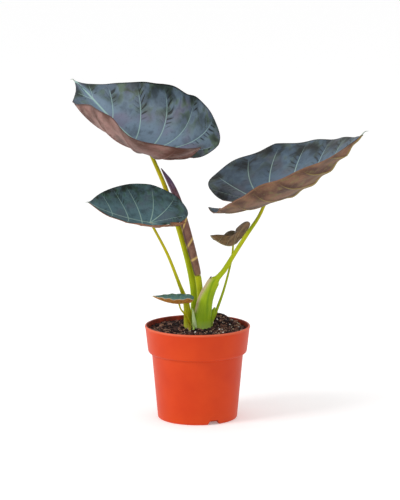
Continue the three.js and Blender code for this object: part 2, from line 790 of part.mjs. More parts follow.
function cormSolid(growth) {
  const profile = [new THREE.Vector2(0, -CORM_HALF_HEIGHT - growth)];
  const rings = 9;
  for (let k = 1; k < rings; k += 1) {
    const angle = -90 + (180 * k) / rings;
    const scar = k % 2 === 0 ? 0.6 : 0;
    const radius = (CORM_RADIUS - scar) * Math.cos(angle * RADIANS) ** 0.8 + growth;
    profile.push(new THREE.Vector2(radius, (CORM_HALF_HEIGHT + growth) * Math.sin(angle * RADIANS)));
  }
  profile.push(new THREE.Vector2(0, CORM_HALF_HEIGHT + growth));
  const barrel = new THREE.LatheGeometry(profile, 14);
  barrel.rotateX(90 * RADIANS);
  barrel.translate(CORM_CENTRE.x, CORM_CENTRE.y, CORM_CENTRE.z);
  let corm = solidOf(barrel);
  for (let index = 0; index < ROOT_COUNT; index += 1) {
    corm = corm.add(cormRoot(index, growth));
  }
  return corm;
}

// The height of the potting mix: level near the rim, heaped round the stems and behind them.
function soilHeight(x, y) {
  const crown = 3.2 * Math.exp(-((x - 2) ** 2 + y ** 2) / 500);
  const heap = 10.5 * Math.exp(-((x - 21) ** 2 + (y - 27) ** 2) / 190);
  const lumps = 0.9 * Math.sin(0.61 * x + 1.3) * Math.sin(0.53 * y + 0.4);
  const grains = 0.6 * Math.sin(1.31 * x - 0.87 * y) * Math.cos(0.93 * x + 1.17 * y);
  return SOIL_LEVEL + crown + heap + lumps + grains;
}

function potInnerRadius(z) {
  if (z <= COLLAR_LOW_Z) {
    const height = (z - FLOOR_TOP) / (COLLAR_LOW_Z - FLOOR_TOP);
    return THREE.MathUtils.lerp(FOOT_RADIUS, BODY_TOP_RADIUS, height) - WALL;
  }
  return THREE.MathUtils.mapLinear(z, COLLAR_LOW_Z + 2, POT_HEIGHT, COLLAR_LOW_RADIUS - WALL, RIM_RADIUS - 2);
}

function soilBlock() {
  const lowZ = FLOOR_TOP + SOIL_GAP;
  const footRadius = potInnerRadius(lowZ) - 1.2;
  const stepRadius = potInnerRadius(COLLAR_LOW_Z) - SOIL_GAP;
  const collarRadius = potInnerRadius(COLLAR_LOW_Z + 2.4) - SOIL_GAP;
  const rimRadius = potInnerRadius(SOIL_LEVEL) - 1;
  const edge = [
    [footRadius, lowZ],
    [stepRadius, COLLAR_LOW_Z + 0.2],
    [collarRadius, COLLAR_LOW_Z + 2.8],
  ];
  const points = [];
  const triangles = [];
  const ringOf = (radius, heightAt) => {
    for (let k = 0; k < SOIL_SIDES; k += 1) {
      const angle = (k * 2 * Math.PI) / SOIL_SIDES;
      const x = radius * Math.cos(angle);
      const y = radius * Math.sin(angle);
      points.push(new THREE.Vector3(x, y, heightAt(x, y)));
    }
  };
  edge.forEach(([radius, z]) => ringOf(radius, () => z));
  for (let ring = SOIL_RINGS; ring > 0; ring -= 1) {
    ringOf((rimRadius * ring) / SOIL_RINGS, soilHeight);
  }
  const ringCount = edge.length + SOIL_RINGS;
  for (let ring = 0; ring < ringCount - 1; ring += 1) {
    for (let k = 0; k < SOIL_SIDES; k += 1) {
      const a = ring * SOIL_SIDES + k;
      const b = ring * SOIL_SIDES + ((k + 1) % SOIL_SIDES);
      triangles.push(a, b, b + SOIL_SIDES, a, b + SOIL_SIDES, a + SOIL_SIDES);
    }
  }
  const bottom = points.push(new THREE.Vector3(0, 0, lowZ)) - 1;
  const top = points.push(new THREE.Vector3(0, 0, soilHeight(0, 0))) - 1;
  const last = (ringCount - 1) * SOIL_SIDES;
  for (let k = 0; k < SOIL_SIDES; k += 1) {
    const next = (k + 1) % SOIL_SIDES;
    triangles.push(bottom, next, k, top, last + k, last + next);
  }
  return solidOf(geometryOf(points, triangles));
}

// A bark chip or a lump of perlite: a small block with its corners knocked about, half sunk.
function soilChip(index) {
  const random = randomFrom(97 * index + 5);
  const radius = 15 + 27 * Math.sqrt(random());
  const turn = index * 137.5 * RADIANS;
  const x = radius * Math.cos(turn);
  const y = radius * Math.sin(turn);
  const chip = new THREE.BoxGeometry(3 + 5 * random(), 2.5 + 3 * random(), 1.6 + 1.6 * random());
  const merged = mergeVertices(chip.deleteAttribute("normal").deleteAttribute("uv"), 1e-4);
  const corners = merged.getAttribute("position");
  for (let k = 0; k < corners.count; k += 1) {
    const nudge = () => 0.9 * (random() - 0.5);
    const aside = [corners.getX(k) + nudge(), corners.getY(k) + nudge()];
    corners.setXYZ(k, ...aside, corners.getZ(k) + 0.5 * nudge());
  }
  merged.rotateX((random() - 0.5) * 0.7);
  merged.rotateY((random() - 0.5) * 0.7);
  merged.rotateZ(random() * Math.PI);
  merged.translate(x, y, soilHeight(x, y) + 0.25);
  return solidOf(merged);
}

function makeSoil(stemRooms) {
  let soil = soilBlock();
  for (let index = 0; index < CHIP_COUNT; index += 1) {
    soil = soil.add(soilChip(index));
  }
  soil = soil.subtract(cormSolid(CLEARANCE));
  stemRooms.forEach((room) => {
    soil = soil.subtract(room);
  });
  return new THREE.Mesh(largestBody(soil), material(COLOURS.soil, 0.95));
}

// Each stem is trimmed under its own blade, and cut clear of the corm and of the stems before it.
function makeStems() {
  const stems = {};
  const taken = [cormSolid(CLEARANCE)];
  for (const [name, stem] of Object.entries(STEMS)) {
    let solid = solidOf(stemGeometry(stem, 0));
    if (BLADES[name]) {
      solid = solid.subtract(stemEndBlock(BLADES[name]));
    }
    taken.forEach((room) => {
      solid = solid.subtract(room);
    });
    taken.push(solidOf(stemGeometry(stem, CLEARANCE)));
    stems[name] = new THREE.Mesh(largestBody(solid), material(COLOURS.stem, 0.5));
  }
  return stems;
}

const plant = new THREE.Group();
for (const [name, leaf] of Object.entries(BLADES)) {
  const blade = makeBlade(leaf);
  blade.name = "blade_" + name;
  plant.add(blade);
}
for (const [name, stem] of Object.entries(makeStems())) {
  stem.name = "petiole_" + name;
  plant.add(stem);
}
const roll = new THREE.Mesh(rollGeometry(), material(COLOURS.roll, 0.5));
roll.name = "rolled_leaf";
plant.add(roll);
const corm = new THREE.Mesh(largestBody(cormSolid(0)), material(COLOURS.corm, 0.9));
corm.name = "corm_with_roots";
plant.add(corm);

const pot = makePot();
pot.name = "nursery_pot";
const stemRooms = Object.values(STEMS).map((stem) => solidOf(stemGeometry(stem, STEM_HOLE_GROWTH)));
const soil = makeSoil(stemRooms);
soil.name = "potting_mix";

const potted = new THREE.Group();
potted.add(pot, soil, plant);
export default potted;
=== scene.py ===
import math

import bpy
import numpy as np
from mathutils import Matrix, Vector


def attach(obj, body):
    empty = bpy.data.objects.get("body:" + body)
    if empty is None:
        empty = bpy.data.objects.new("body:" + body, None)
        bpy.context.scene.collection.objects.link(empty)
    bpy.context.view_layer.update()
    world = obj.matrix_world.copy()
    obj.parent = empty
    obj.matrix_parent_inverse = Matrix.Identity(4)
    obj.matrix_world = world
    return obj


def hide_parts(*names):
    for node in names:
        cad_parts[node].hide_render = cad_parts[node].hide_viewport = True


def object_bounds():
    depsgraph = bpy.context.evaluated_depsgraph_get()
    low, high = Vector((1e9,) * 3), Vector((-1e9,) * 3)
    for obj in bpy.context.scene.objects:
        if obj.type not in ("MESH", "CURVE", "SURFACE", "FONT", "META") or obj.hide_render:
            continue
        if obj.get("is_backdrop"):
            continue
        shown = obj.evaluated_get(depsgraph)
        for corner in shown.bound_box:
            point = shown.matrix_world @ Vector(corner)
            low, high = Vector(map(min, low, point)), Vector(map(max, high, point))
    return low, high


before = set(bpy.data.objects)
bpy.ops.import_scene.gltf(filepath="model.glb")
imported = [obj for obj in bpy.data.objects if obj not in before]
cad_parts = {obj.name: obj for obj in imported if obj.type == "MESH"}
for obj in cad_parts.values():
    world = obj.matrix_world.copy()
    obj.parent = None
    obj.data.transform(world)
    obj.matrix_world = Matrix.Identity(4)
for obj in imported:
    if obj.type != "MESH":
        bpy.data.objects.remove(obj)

cad_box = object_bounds()

# The nursery pot: one injection-moulded shell of terracotta-orange polypropylene, 105 mm over its
# rim, with a stepped collar, a rolled rim and three drain notches in its foot ring. It leaves its
# mould in one piece, and everything else stands in it.
MM = 0.001
POT_SIDES = 160
# Each corner of the wall's section, from the middle of the base round to the middle of the floor:
# radius, height and how far the corner is rounded.
POT_CORNERS = [
    (20, 0, 0.5),
    (21, 1.8, 0.5),
    (34.5, 1.8, 0.5),
    (35.5, 0, 0.5),
    (39.8, 0, 1.7),
    (40.35, 6, 0.3),
    (45.8, 66.1, 0.9),
    (49.3, 66.2, 3.0),
    (52.2, 91.6, 0.9),
    (52.6, 92.2, 0.5),
    (52.5, 93.9, 0.9),
    (50.6, 93.9, 0.9),
    (50.4, 92, 0.5),
    (48.1, 69.6, 1.4),
    (44.5, 67.4, 1.4),
    (38.97, 8, 0.3),
    (38.5, 3.2, 1.2),
]
POT_FLOOR_TOP = 3.2
POT_INSIDE_FROM = 11  # the corner of the section where the inner wall starts
NOTCH_COUNT = 3
NOTCH_FIRST_ANGLE = 24.2  # degrees from the front towards the right
# Half of a notch's outline: half width and height.
NOTCH_OUTLINE = [(7.1, -1), (6.4, 0.3), (4.4, 3.7), (3.5, 4.4)]
NOTCH_REACH = (33.5, 43)  # from inside the foot ring to clear of the wall


def linear(code):
    """A hex sRGB colour as linear RGBA."""
    parts = [int(code[k:k + 2], 16) / 255 for k in (1, 3, 5)]
    return (*[c / 12.92 if c <= 0.04045 else ((c + 0.055) / 1.055) ** 2.4 for c in parts], 1)


def add_node(tree, kind, inputs=None, stops=(), **settings):
    """Adds a node with its settings, and gives each input its value or its link."""
    made = tree.nodes.new(kind)
    for name, value in settings.items():
        setattr(made, name, value)
    for key, value in (inputs or {}).items():
        socket = made.inputs[key] if isinstance(key, int) else next(
            s for s in made.inputs if s.name == key and s.enabled)
        if isinstance(value, bpy.types.Node):
            value = next(s for s in value.outputs if s.enabled)
        if isinstance(value, bpy.types.NodeSocket):
            tree.links.new(value, socket)
        else:
            socket.default_value = value
    for k, (place, colour) in enumerate(stops):
        elements = made.color_ramp.elements
        element = elements[k] if k < 2 else elements.new(place)
        element.position = place
        element.color = linear(colour)
    return made


def new_material(name, **constants):
    """A material with a principled shader, whose constant sockets are set on the shader itself."""
    material = bpy.data.materials.new(name)
    material.use_nodes = True
    shader = material.node_tree.nodes["Principled BSDF"]
    for socket, value in constants.items():
        shader.inputs[socket.replace("_", " ")].default_value = value
    return material, material.node_tree, shader


def surfaced(tree, shader, colour, height, strength, depth):
    """Gives a shader its colour, and a relief of a depth in metres."""
    relief = add_node(tree, "ShaderNodeBump", {
        "Height": height, "Strength": strength, "Distance": depth})
    for name, made in (("Base Color", colour), ("Normal", relief)):
        tree.links.new(next(s for s in made.outputs if s.enabled), shader.inputs[name])


def make_piece(name, points, faces, materials):
    """A smooth mesh object from points in millimetres."""
    mesh = bpy.data.meshes.new(name)
    mesh.from_pydata((np.asarray(points, float) * MM).tolist(), [], faces)
    mesh.polygons.foreach_set("use_smooth", [True] * len(mesh.polygons))
    mesh.update()
    piece = bpy.data.objects.new(name, mesh)
    bpy.context.scene.collection.objects.link(piece)
    for material in materials:
        mesh.materials.append(material)
    return piece


def add_values(piece, name, values):
    """Gives each point of a piece a value that its material reads by name."""
    piece.data.attributes.new(name, "FLOAT", "POINT").data.foreach_set("value", values)


def level_ring(radius, height, sides):
    """Points round a level circle about the pot's axis."""
    turns = np.arange(sides) * 2 * math.pi / sides
    return np.stack([radius * np.cos(turns), radius * np.sin(turns), np.full(sides, height)], 1)


def ringed_body(rings, first_pole=None, last_pole=None):
    """The points and faces of a closed body between rings of equally many points. Each end is a
    pole where one is given, and otherwise one flat face."""
    sides = len(rings[0])
    points = np.concatenate(rings).tolist()
    turn = [(k, (k + 1) % sides) for k in range(sides)]
    faces = []
    for ring in range(len(rings) - 1):
        low = ring * sides
        high = low + sides
        faces += [(low + a, low + b, high + b, high + a) for a, b in turn]
    top = (len(rings) - 1) * sides
    if first_pole is None:
        faces.append(tuple(reversed(range(sides))))
    else:
        points.append(first_pole)
        faces += [(len(points) - 1, b, a) for a, b in turn]
    if last_pole is None:
        faces.append(tuple(range(top, top + sides)))
    else:
        points.append(last_pole)
        faces += [(top + a, top + b, len(points) - 1) for a, b in turn]
    return points, faces


def rounded_corners(corners, steps=5):
    """A section whose corners are replaced by short arcs, with the corner that each point is of."""
    section = []
    for k, (r, z, reach) in enumerate(corners):
        here = np.array([r, z], float)
        before = np.array(corners[k - 1][:2] if k else (0, z), float)
        after = np.array(corners[k + 1][:2] if k + 1 < len(corners) else (0, z), float)
        start = here + (before - here) / np.linalg.norm(before - here) * reach
        end = here + (after - here) / np.linalg.norm(after - here) * reach
        for t in np.linspace(0, 1, steps):
            point = (1 - t) ** 2 * start + 2 * t * (1 - t) * here + t ** 2 * end
            section.append((point[0], point[1], k))
    return section


def apply_modifiers(piece):
    """Leaves the piece with the plain mesh that its modifiers make."""
    graph = bpy.context.evaluated_depsgraph_get()
    mesh = bpy.data.meshes.new_from_object(piece.evaluated_get(graph))
    piece.modifiers.clear()
    piece.data = mesh
    mesh.name = piece.name


# Injection-moulded polypropylene: satin, a little waxy, with soft flow marks in its colour and a
# fine moulded grain, darker and mottled on its inner wall, and with a painted highlight along its
# lip.
pot_plastic, tree, shader = new_material(
    "moulded_polypropylene", IOR=1.49, Roughness=0.45, Specular_IOR_Level=0.2)
place = add_node(tree, "ShaderNodeTexCoord").outputs["Object"]
height = add_node(tree, "ShaderNodeSeparateXYZ", {0: place}).outputs["Z"]
flow = add_node(tree, "ShaderNodeTexNoise", {"Vector": place, "Scale": 1000 / 35, "Detail": 3.0})
body = add_node(tree, "ShaderNodeValToRGB", {0: flow}, [(0.3, "#c03508"), (0.7, "#cb3f0c")])
foot = add_node(tree, "ShaderNodeMapRange", {
    "Value": height, "From Min": 0.003, "From Max": 0.016, "To Min": 0.35, "To Max": 0.0})
# Painted highlight: a pale pinkish line along the top of the rolled lip.
lip_highlight = add_node(tree, "ShaderNodeMapRange", {
    "Value": height, "From Min": 0.0915, "From Max": 0.0925})
inner = add_node(tree, "ShaderNodeAttribute", attribute_name="inner_wall").outputs["Fac"]
# A darker, mottled tone on the inner wall.
inner_mottle = add_node(tree, "ShaderNodeTexNoise", {"Vector": place, "Scale": 1000 / 6, "Detail": 5.0})
inner_tone = add_node(tree, "ShaderNodeValToRGB", {0: inner_mottle}, [(0.4, "#a03a22"), (0.62, "#6e2c1e")])
walls = body
for share, over in ((foot, linear("#cf4a16")), (lip_highlight, linear("#d8603f")), (inner, inner_tone)):
    walls = add_node(tree, "ShaderNodeMix", {"Factor": share, "A": walls, "B": over},
                     data_type="RGBA")
grain = add_node(tree, "ShaderNodeTexNoise", {"Vector": place, "Scale": 1000 / 0.5})
surfaced(tree, shader, walls, grain, 0.05, 0.0002)

section = rounded_corners(POT_CORNERS)
pot_rings = [level_ring(r, z, POT_SIDES) for r, z, corner in section]
points, faces = ringed_body(pot_rings, (0, 0, 0), (0, 0, POT_FLOOR_TOP))
pot = make_piece("nursery_pot_shell", points, faces, [pot_plastic])
inside = [float(corner >= POT_INSIDE_FROM) for r, z, corner in section]
add_values(pot, "inner_wall", np.r_[np.repeat(inside, POT_SIDES), 0, 1])
outline = NOTCH_OUTLINE + [(-w, z) for w, z in reversed(NOTCH_OUTLINE)]
cutters = []
for k in range(NOTCH_COUNT):
    angle = math.radians(NOTCH_FIRST_ANGLE + 360 / NOTCH_COUNT * k)
    out = np.array([math.sin(angle), -math.cos(angle), 0])
    across = np.array([math.cos(angle), math.sin(angle), 0])
    ends = [[out * reach + across * w + np.array([0, 0, z]) for w, z in outline]
            for reach in NOTCH_REACH]
    points, faces = ringed_body([np.array(end) for end in ends])
    cutter = make_piece("notch_cutter", points, faces, [])
    cut = pot.modifiers.new("notch", "BOOLEAN")
    cut.object = cutter
    cut.solver = "EXACT"
    cutters.append(cutter)
apply_modifiers(pot)
for cutter in cutters:
    bpy.data.objects.remove(cutter)
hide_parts("nursery_pot")
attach(pot, "root")

# The corm with its roots: the plant's woody underground stem, as brown as its dry leaf scars. It
# is buried in the mix, the petioles spring from its top, and the modelled part's own shape serves.
corm_bark, tree, shader = new_material("corm_bark", Roughness=0.9, Specular_IOR_Level=0.3)
place = add_node(tree, "ShaderNodeTexCoord").outputs["Object"]
scars = add_node(tree, "ShaderNodeTexNoise", {"Vector": place, "Scale": 1000 / 4, "Detail": 5.0})
brown = add_node(tree, "ShaderNodeValToRGB", {0: scars}, [(0.35, "#4a3122"), (0.6, "#7d5a3e")])
surfaced(tree, shader, brown, scars, 0.6, 0.001)
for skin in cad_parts["corm_with_roots"].material_slots:
    skin.material = corm_bark

# The potting mix: damp composted bark and peat, filled in loose to 5 mm under the rim, and heaped
# behind the stems. It fills the pot to its floor.
SOIL_LEVEL = 88.1
SOIL_SIDES = 220
SOIL_RINGS = 80
SOIL_EDGE = [(37.2, 3.6), (44.05, 67.7), (47.1, 70.3)]  # radius and height along the wall
SOIL_RIM_RADIUS = 49.2


def smooth_noise(x, y, cell, seed):
    """Soft random lumps of about the given size in millimetres, from -1 to 1."""
    random = np.random.default_rng(seed)
    total = np.zeros_like(x)
    for _ in range(7):
        turn = random.uniform(0, 2 * math.pi)
        waves = random.uniform(0.7, 1.4) * 2 * math.pi / (2 * cell)
        total += np.sin(waves * (x * math.cos(turn) + y * math.sin(turn)) + random.uniform(0, 6.3))
    return total / 3.5


def soil_height(x, y):
    """The height of the bed: a low crown, the heap behind the stems, lumps, grains and crumbs,
    and a bank at the wall."""
    crown = 3.2 * np.exp(-((x - 2) ** 2 + y ** 2) / 500)
    heap = 10.5 * np.exp(-((x - 21) ** 2 + (y - 27) ** 2) / 190)
    lumps = 0.9 * np.sin(0.61 * x + 1.3) * np.sin(0.53 * y + 0.4)
    grains = 0.6 * np.sin(1.31 * x - 0.87 * y) * np.cos(0.93 * x + 1.17 * y)
    crumbs = 0.8 * smooth_noise(x, y, 2.4, 3) + 0.5 * smooth_noise(x, y, 1.1, 4)
    banked = 1.2 * (np.hypot(x, y) / SOIL_RIM_RADIUS) ** 6
    return SOIL_LEVEL + crown + heap + lumps + grains + crumbs + banked


# Damp peat: near-black purple brown, with lighter dry crumbs, quite matt.
peat, tree, shader = new_material("damp_peat", Roughness=0.93, Specular_IOR_Level=0.25)
place = add_node(tree, "ShaderNodeTexCoord").outputs["Object"]
crumb = add_node(tree, "ShaderNodeTexNoise", {"Vector": place, "Scale": 1000 / 2.2, "Detail": 6.0})
tone = add_node(tree, "ShaderNodeValToRGB", {0: crumb}, [
    (0.3, "#100a0b"), (0.5, "#241617"), (0.64, "#402824"), (0.75, "#62443a")])
surfaced(tree, shader, tone, crumb, 0.8, 0.0015)

soil_rings = [level_ring(r, z, SOIL_SIDES) for r, z in SOIL_EDGE]
top_rings = [level_ring(SOIL_RIM_RADIUS * ring / SOIL_RINGS, 0.0, SOIL_SIDES)
             for ring in range(SOIL_RINGS, 0, -1)]
for ring in top_rings:
    ring[:, 2] = soil_height(ring[:, 0], ring[:, 1])
middle = np.zeros(1)
peak = (0, 0, float(soil_height(middle, middle)[0]))
points, faces = ringed_body(soil_rings + top_rings, (0, 0, SOIL_EDGE[0][1]), peak)
soil = make_piece("potting_mix_bed", points, faces, [peat])
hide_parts("potting_mix")
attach(soil, "root")

# The loose top of the mix: bark chips, pale split slivers, white puffed perlite and fine crumbs,
# strewn over the bed by a seeded scatter that keeps clear of the stalks' feet and the pot's wall.
# Each foot: x, y, half width and half depth.
STALK_FEET = [(-2.7, 8.8, 4.9, 3.6), (4.2, -4.6, 10.2, 5.4), (-10, -1.2, 4.2, 4),
              (13.6, 5.5, 2.4, 2.2), (-7.6, -10.2, 2, 2), (3.6, 1.8, 3.4, 3.4)]
SCATTER_RADIUS = 47.4
# Each kind: how many on a square millimetre, its length, its shape as shares of that length, the
# tones that its colour is picked from, how it tilts, and how much more of it lies on the right.
SCATTER = {
    "Crumb": dict(density=0.42, length=1.7, low=(0.5, 0.5, 0.4), high=(1.3, 1.3, 1.1),
                  tones=(0.0, 0.5), tilt=3.1, right=1.0),
    "Chip": dict(density=0.075, length=4.4, low=(0.5, 0.35, 0.16), high=(1.2, 0.8, 0.4),
                 tones=(0.0, 0.7), tilt=0.5, right=1.0),
    "Sliver": dict(density=0.045, length=4.0, low=(0.5, 0.14, 0.1), high=(1.4, 0.3, 0.2),
                   tones=(0.5, 0.86), tilt=0.35, right=1.9),
    "Perlite": dict(density=0.006, length=1.9, low=(0.5, 0.5, 0.4), high=(1.2, 1.2, 1.0),
                    tones=(0.9, 1.0), tilt=3.1, right=2.2),
}
scatter = bpy.data.node_groups.new("strewn_bark", "GeometryNodeTree")
scatter.interface.new_socket("Geometry", in_out="INPUT", socket_type="NodeSocketGeometry")
scatter.interface.new_socket("Geometry", in_out="OUTPUT", socket_type="NodeSocketGeometry")
sizes = {}
for kind, bit in SCATTER.items():
    for word, value in (("Density", bit["density"] / MM ** 2), ("Length", bit["length"] * MM)):
        sizes[kind + " " + word] = (scatter.interface.new_socket(
            kind + " " + word, in_out="INPUT", socket_type="NodeSocketFloat"), value)
ground = add_node(scatter, "NodeGroupInput")
open_soil = add_node(scatter, "GeometryNodeInputNamedAttribute", {"Name": "open_soil"},
                     data_type="FLOAT")
at_x = add_node(scatter, "ShaderNodeSeparateXYZ", {
    0: add_node(scatter, "GeometryNodeInputPosition")})
strewn = []
for seed, (kind, bit) in enumerate(SCATTER.items()):
    richer = add_node(scatter, "ShaderNodeMapRange", {
        "Value": at_x.outputs["X"], "From Min": -0.03, "From Max": 0.03,
        "To Min": 1 / bit["right"], "To Max": bit["right"]})
    wanted = add_node(scatter, "ShaderNodeMath", {
        0: open_soil, 1: ground.outputs[kind + " Density"]}, operation="MULTIPLY")
    density = add_node(scatter, "ShaderNodeMath", {0: wanted, 1: richer}, operation="MULTIPLY")
    spots = add_node(scatter, "GeometryNodeDistributePointsOnFaces", {
        "Mesh": ground.outputs["Geometry"], "Density": density, "Seed": seed + 5})
    if kind in ("Chip", "Sliver"):
        shape = add_node(scatter, "GeometryNodeMeshCube", {
            "Size": (1, 1, 1), "Vertices X": 4, "Vertices Y": 3, "Vertices Z": 2})
    else:
        shape = add_node(scatter, "GeometryNodeMeshIcoSphere", {
            "Radius": 0.5, "Subdivisions": 2 if kind == "Perlite" else 1})
    turn = add_node(scatter, "FunctionNodeRandomValue", {
        "Min": (-bit["tilt"], -bit["tilt"], 0), "Max": (bit["tilt"], bit["tilt"], 2 * math.pi),
        "Seed": seed + 20}, data_type="FLOAT_VECTOR")
    spread = add_node(scatter, "FunctionNodeRandomValue", {
        "Min": bit["low"], "Max": bit["high"], "Seed": seed + 30}, data_type="FLOAT_VECTOR")
    scale = add_node(scatter, "ShaderNodeVectorMath", {
        "Vector": spread, "Scale": ground.outputs[kind + " Length"]}, operation="SCALE")
    bits = add_node(scatter, "GeometryNodeInstanceOnPoints", {
        "Points": spots, "Instance": shape, "Rotation": turn, "Scale": scale})
    tone = add_node(scatter, "FunctionNodeRandomValue", {
        "Min": bit["tones"][0], "Max": bit["tones"][1], "Seed": seed + 40}, data_type="FLOAT")
    strewn.append(add_node(scatter, "GeometryNodeStoreNamedAttribute", {
        "Geometry": bits, "Name": "tone", "Value": tone}, data_type="FLOAT", domain="INSTANCE"))
gathered = add_node(scatter, "GeometryNodeJoinGeometry")
for bits in reversed(strewn):
    scatter.links.new(bits.outputs[0], gathered.inputs[0])
real = add_node(scatter, "GeometryNodeRealizeInstances", {0: gathered})
jag = add_node(scatter, "ShaderNodeTexNoise", {"Scale": 1000 / 1.6})
centred = add_node(scatter, "ShaderNodeVectorMath", {0: jag.outputs["Color"], 1: (0.5, 0.5, 0.5)},
                   operation="SUBTRACT")
offset = add_node(scatter, "ShaderNodeVectorMath", {"Vector": centred, "Scale": 1.7 * MM},
                  operation="SCALE")
jagged = add_node(scatter, "GeometryNodeSetPosition", {"Geometry": real, "Offset": offset})

# Split bark and perlite: each bit has its own tone, from damp black bark through tan split wood
# to white perlite, with a rough broken face.
loose_bark, tree, shader = new_material(
    "split_bark_and_perlite", Roughness=0.88, Specular_IOR_Level=0.3)
place = add_node(tree, "ShaderNodeTexCoord").outputs["Object"]
tone = add_node(tree, "ShaderNodeAttribute", attribute_name="tone").outputs["Fac"]
mottle = add_node(tree, "ShaderNodeTexNoise", {"Vector": place, "Scale": 1000 / 1.2, "Detail": 4.0})
uneven = add_node(tree, "ShaderNodeMath", {0: mottle, 1: 0.16, 2: tone}, operation="MULTIPLY_ADD")
colour = add_node(tree, "ShaderNodeValToRGB", {0: uneven}, [
    (0.05, "#120a0c"), (0.35, "#2c1a1a"), (0.55, "#553730"), (0.7, "#865f4e"), (0.85, "#b8977c"),
    (0.96, "#e2d4c2"), (1.0, "#f6f1ea")])
surfaced(tree, shader, colour, mottle, 0.6, 0.0006)

painted = add_node(scatter, "GeometryNodeSetMaterial", {"Geometry": jagged, "Material": loose_bark})
add_node(scatter, "NodeGroupOutput", {0: painted})
ground_rings = top_rings[SOIL_RINGS - int(SCATTER_RADIUS / SOIL_RIM_RADIUS * SOIL_RINGS):]
points, faces = ringed_body(ground_rings, None, peak)
bits = make_piece("loose_bark_bits", points, [f for f in faces if len(f) < 5], [])
x, y = np.array(points).T[:2]
clear = np.ones(len(points))
for foot_x, foot_y, half_width, half_depth in STALK_FEET:
    clear *= np.hypot((x - foot_x) / half_width, (y - foot_y) / half_depth) > 1
add_values(bits, "open_soil", clear)
strewing = bits.modifiers.new("strewing", "NODES")
strewing.node_group = scatter
for socket, value in sizes.values():
    strewing[socket.identifier] = value
apply_modifiers(bits)
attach(bits, "root")

# The petioles: solid, fleshy leaf stalks. Each grew with its blade as one leaf, widens at its foot
# to a sheath, and springs from the corm under the mix. The right leaf's sheath clasps the rest.
STEM_SIDES = 48
STEM_STEPS = 9  # rings between two stations
STEM_FLUTES = 12
STEM_FLUTE = 0.025  # the depth of a flute as a share of the radius
SHEATH_EDGE = 0.45  # how thick a sheath is at its free edges
# Stations of x, y, z, half width, depth of the back and depth of the face. A face below zero is
# the hollow of a sheath. facing is the way the hollow looks.
STEMS = {
    "upper_left": dict(facing=(0.35, -1, 0), stations=[
        (-2.6, 9, 74, 4.6, 3.2, 1.6), (-2.6, 8.6, 95, 4.6, 3.2, 1.4),
        (-2.9, 8.6, 107.3, 3.9, 3, 1.2), (-3.9, 8.6, 128.3, 3.5, 2.8, 1.6),
        (-8.9, 8.4, 155.6, 3.3, 2.6, 1.8), (-20.1, 7, 194.8, 2.6, 2.3, 1.8),
        (-31.3, 5, 229.7, 2.2, 2.1, 1.7), (-39.4, 3, 250, 2, 2, 1.6),
        (-48.5, -0.1, 271.2, 1.75, 1.75, 1.4)]),
    "right": dict(facing=(-0.1, 1, 0), stations=[
        (4, -3.2, 74, 9, 6.2, -3.6), (4, -3, 95, 9.4, 6.4, -4),
        (5.4, -3.4, 104.4, 8.4, 5.8, -3), (8.2, -3.9, 119.7, 7.2, 5, -1.8),
        (12.7, -4.3, 131.1, 6, 4.2, -1), (16.6, -4.4, 138.4, 5.4, 3.4, 0.2),
        (19.5, -4.3, 141.7, 3.2, 2.9, 1.2), (22.6, -4.2, 145.2, 2.6, 2.7, 1.5),
        (27.4, -4, 151.2, 2.5, 2.4, 1.8), (36.9, -3, 166.6, 2.15, 2.1, 1.6),
        (48.2, -2, 184.4, 2, 2, 1.5), (60.2, -0.6, 202.2, 1.7, 1.7, 1.3),
        (67.7, 0.2, 218.2, 1.5, 1.5, 1.1)]),
    "middle_left": dict(facing=(1, 0.2, 0), stations=[
        (-9.9, -0.8, 74, 3.6, 3.6, 0.6), (-9.9, -1, 94, 3.8, 3.8, 3.2),
        (-10.4, -3.2, 107.4, 3.6, 3.3, 3.6), (-12.4, -6.8, 120.2, 2.4, 2.4, 2.6),
        (-18, -14.6, 138, 1.8, 1.8, 1.3), (-29.3, -29, 170, 1.45, 1.45, 1),
        (-43.2, -39, 199, 1.25, 1.25, 0.8), (-46.4, -39.7, 205, 1.2, 1.2, 0.8)]),
    "small_right": dict(facing=(-1, 0, 0), stations=[
        (13.4, 5.6, 74, 2, 2, 0.6), (13.4, 5.4, 93, 2, 2, 0.6),
        (18.3, 6.6, 105.8, 1.7, 1.7, 0.8), (26.8, 13, 128, 1.1, 1.1, 0.9),
        (33.4, 18.6, 153, 0.95, 0.95, 0.6), (35.3, 19.4, 165, 0.95, 0.95, 0.6),
        (35.8, 19.1, 173, 0.9, 0.9, 0.6)]),
    "small_left": dict(facing=(1, 0, 0), stations=[
        (-7.2, -8.6, 74, 1.6, 1.6, 0.9), (-7.6, -10.2, 94, 1.5, 1.5, 0.9),
        (-9.2, -16, 101.5, 1.1, 1.1, 1), (-13.4, -23.4, 110, 0.75, 0.75, 0.7),
        (-16.9, -26.4, 115.4, 0.65, 0.65, 0.6), (-18.5, -27, 121.5, 0.7, 0.7, 0.65)]),
    "rolled_leaf": dict(facing=(-1, 0, 0), stations=[
        (3.6, 2.2, 74, 3.2, 3.2, 2.9), (3.6, 1.6, 95, 3.2, 3.2, 2.9),
        (3.2, 1.2, 115, 3.1, 3.1, 2.9), (1.9, 1.1, 134, 3, 3, 2.9),
        (0.6, 1.1, 143.4, 2.9, 2.9, 2.8)]),
}


def smooth_path(stations, steps):
    """Points and tangents on a smooth curve through stations of any number of values."""
    table = np.array(stations, float)
    table = np.vstack([2 * table[0] - table[1], table, 2 * table[-1] - table[-2]])
    points, slopes = [], []
    for k in range(1, len(table) - 2):
        a, b, c, d = table[k - 1:k + 3]
        last = k == len(table) - 3
        for t in np.linspace(0, 1, steps + 1)[:None if last else -1]:
            bend, turn = 2 * a - 5 * b + 4 * c - d, 3 * b - a - 3 * c + d
            points.append(0.5 * (2 * b + (c - a) * t + bend * t ** 2 + turn * t ** 3))
            slopes.append(0.5 * (c - a + 2 * bend * t + 3 * turn * t ** 2))
    return np.array(points), np.array(slopes)


